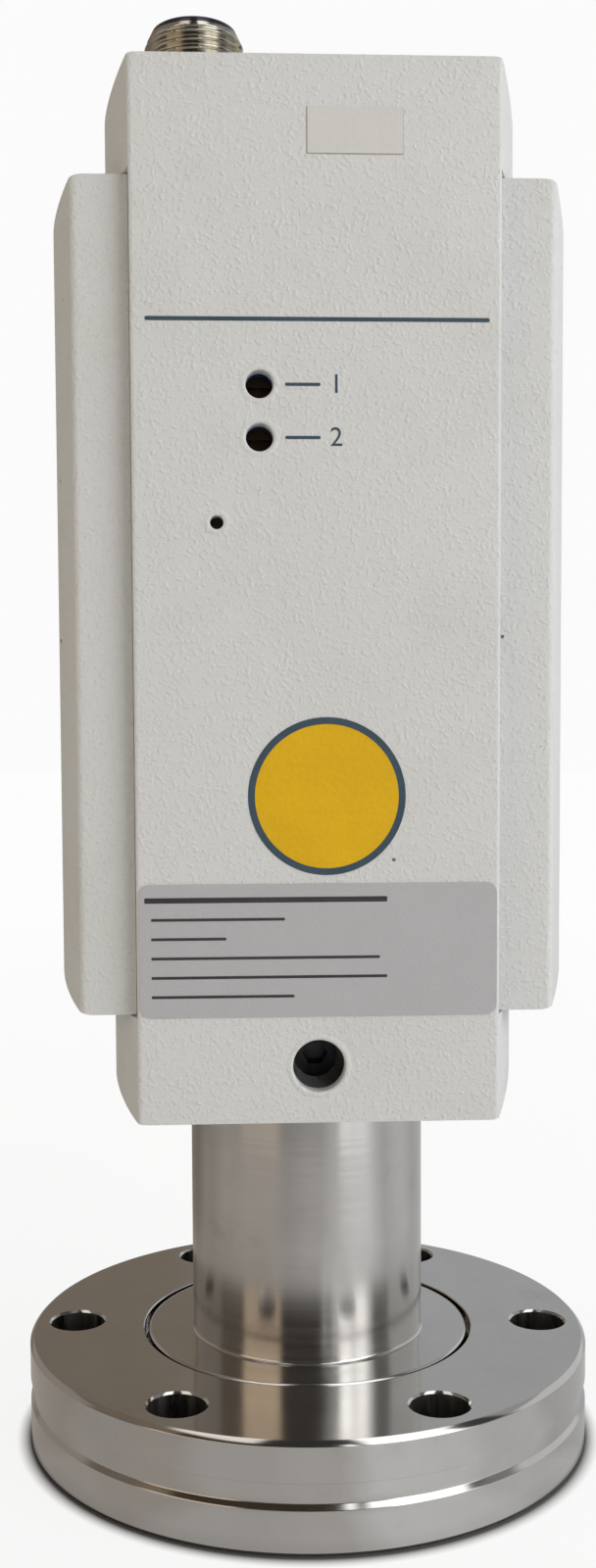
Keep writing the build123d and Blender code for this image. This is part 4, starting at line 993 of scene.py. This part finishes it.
def photo_camera():
    """The camera at the photograph's angle: turned to the side, tilted down and hardly rolled."""
    data = bpy.data.cameras.new("camera")
    data.sensor_fit = "VERTICAL"
    data.sensor_height = 36.0
    data.lens = 35.777
    data.shift_x, data.shift_y = 0.00882, 0.03756
    data.clip_start = 0.01
    data.dof.use_dof = False
    yaw, pitch, roll = (math.radians(turn) for turn in (2.538, 3.741, -0.303))
    ahead = Vector((math.sin(yaw) * math.cos(pitch), math.cos(yaw) * math.cos(pitch), -math.sin(pitch)))
    right = Vector((math.cos(yaw), -math.sin(yaw), 0.0))
    up = right.cross(ahead)
    across = right * math.cos(roll) + up * math.sin(roll)
    upright = up * math.cos(roll) - right * math.sin(roll)
    turn = Matrix((across, upright, -ahead)).transposed()
    camera = bpy.data.objects.new("camera", data)
    camera.matrix_world = Matrix.Translation((-0.011244, -0.194696, 0.086634)) @ turn.to_4x4()
    return camera


class GAUGE_OT_stage(bpy.types.Operator):
    """Floor, lamps, reflected surroundings, world and camera"""

    bl_idname = "gauge.stage"
    bl_label = "Stage"

    def execute(self, context):
        scene = context.scene
        scene.view_settings.view_transform = "Standard"
        scene.world = studio_world()
        floor = pale_floor()
        lamp("key_lamp", (0.80, -0.84, 0.50), 0.09, (0.9, 0.9), 8.3, (1.0, 1.0, 1.0))
        lamp("right_lamp", (1.0, -0.15, 0.35), 0.09, (0.6, 0.9), 3.3, (0.98, 0.99, 1.0))
        lamp("top_lamp", (0.1, 0.2, 1.1), 0.1, (0.8, 0.8), 2.4, (1.0, 1.0, 1.0))
        lamp("left_lamp", (-0.95, -0.55, 0.35), 0.09, (0.9, 0.9), 2.8, (1.0, 0.80, 0.50))
        reflections()
        scene.camera = photo_camera()
        scene.collection.objects.link(scene.camera)
        return {"FINISHED"}


class GAUGE_PT_panel(bpy.types.Panel):
    """Lists the builders of the gauge's pieces"""

    bl_idname = "GAUGE_PT_panel"
    bl_label = "Ionization gauge"
    bl_space_type = "VIEW_3D"
    bl_region_type = "UI"
    bl_category = "Gauge"

    def draw(self, context):
        for operator in OPERATORS:
            self.layout.operator(operator.bl_idname)
        for group in ("gauge_flange", "gauge_connector", "gauge_colours"):
            settings = getattr(context.scene, group)
            box = self.layout.box()
            for key in type(settings).__annotations__:
                box.prop(settings, key)


OPERATORS = (
    GAUGE_OT_flange_ring,
    GAUGE_OT_sensor_steel,
    GAUGE_OT_housing,
    GAUGE_OT_hole_edges,
    GAUGE_OT_round_connector,
    GAUGE_OT_panel_print,
    GAUGE_OT_labels,
    GAUGE_OT_solids,
    GAUGE_OT_stage,
)
CLASSES = (FlangeSettings, ConnectorSettings, ColourSettings, *OPERATORS, GAUGE_PT_panel)


def register():
    """Registers every class and the settings on the scene."""
    for cls in CLASSES:
        bpy.utils.register_class(cls)
    bpy.types.Scene.gauge_flange = PointerProperty(type=FlangeSettings)
    bpy.types.Scene.gauge_connector = PointerProperty(type=ConnectorSettings)
    bpy.types.Scene.gauge_colours = PointerProperty(type=ColourSettings)


def unregister():
    """Takes the settings and classes away again."""
    del bpy.types.Scene.gauge_flange
    del bpy.types.Scene.gauge_connector
    del bpy.types.Scene.gauge_colours
    for cls in reversed(CLASSES):
        bpy.utils.unregister_class(cls)


def main():
    """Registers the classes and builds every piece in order."""
    register()
    FINISH.update(finishes(bpy.context.scene.gauge_colours))
    bpy.ops.gauge.flange_ring()
    bpy.ops.gauge.sensor_steel()
    bpy.ops.gauge.housing()
    bpy.ops.gauge.hole_edges()
    bpy.ops.gauge.round_connector()
    bpy.ops.gauge.panel_print()
    bpy.ops.gauge.labels()
    bpy.ops.gauge.solids()
    bpy.ops.gauge.stage()


if __name__ == "__main__":
    main()
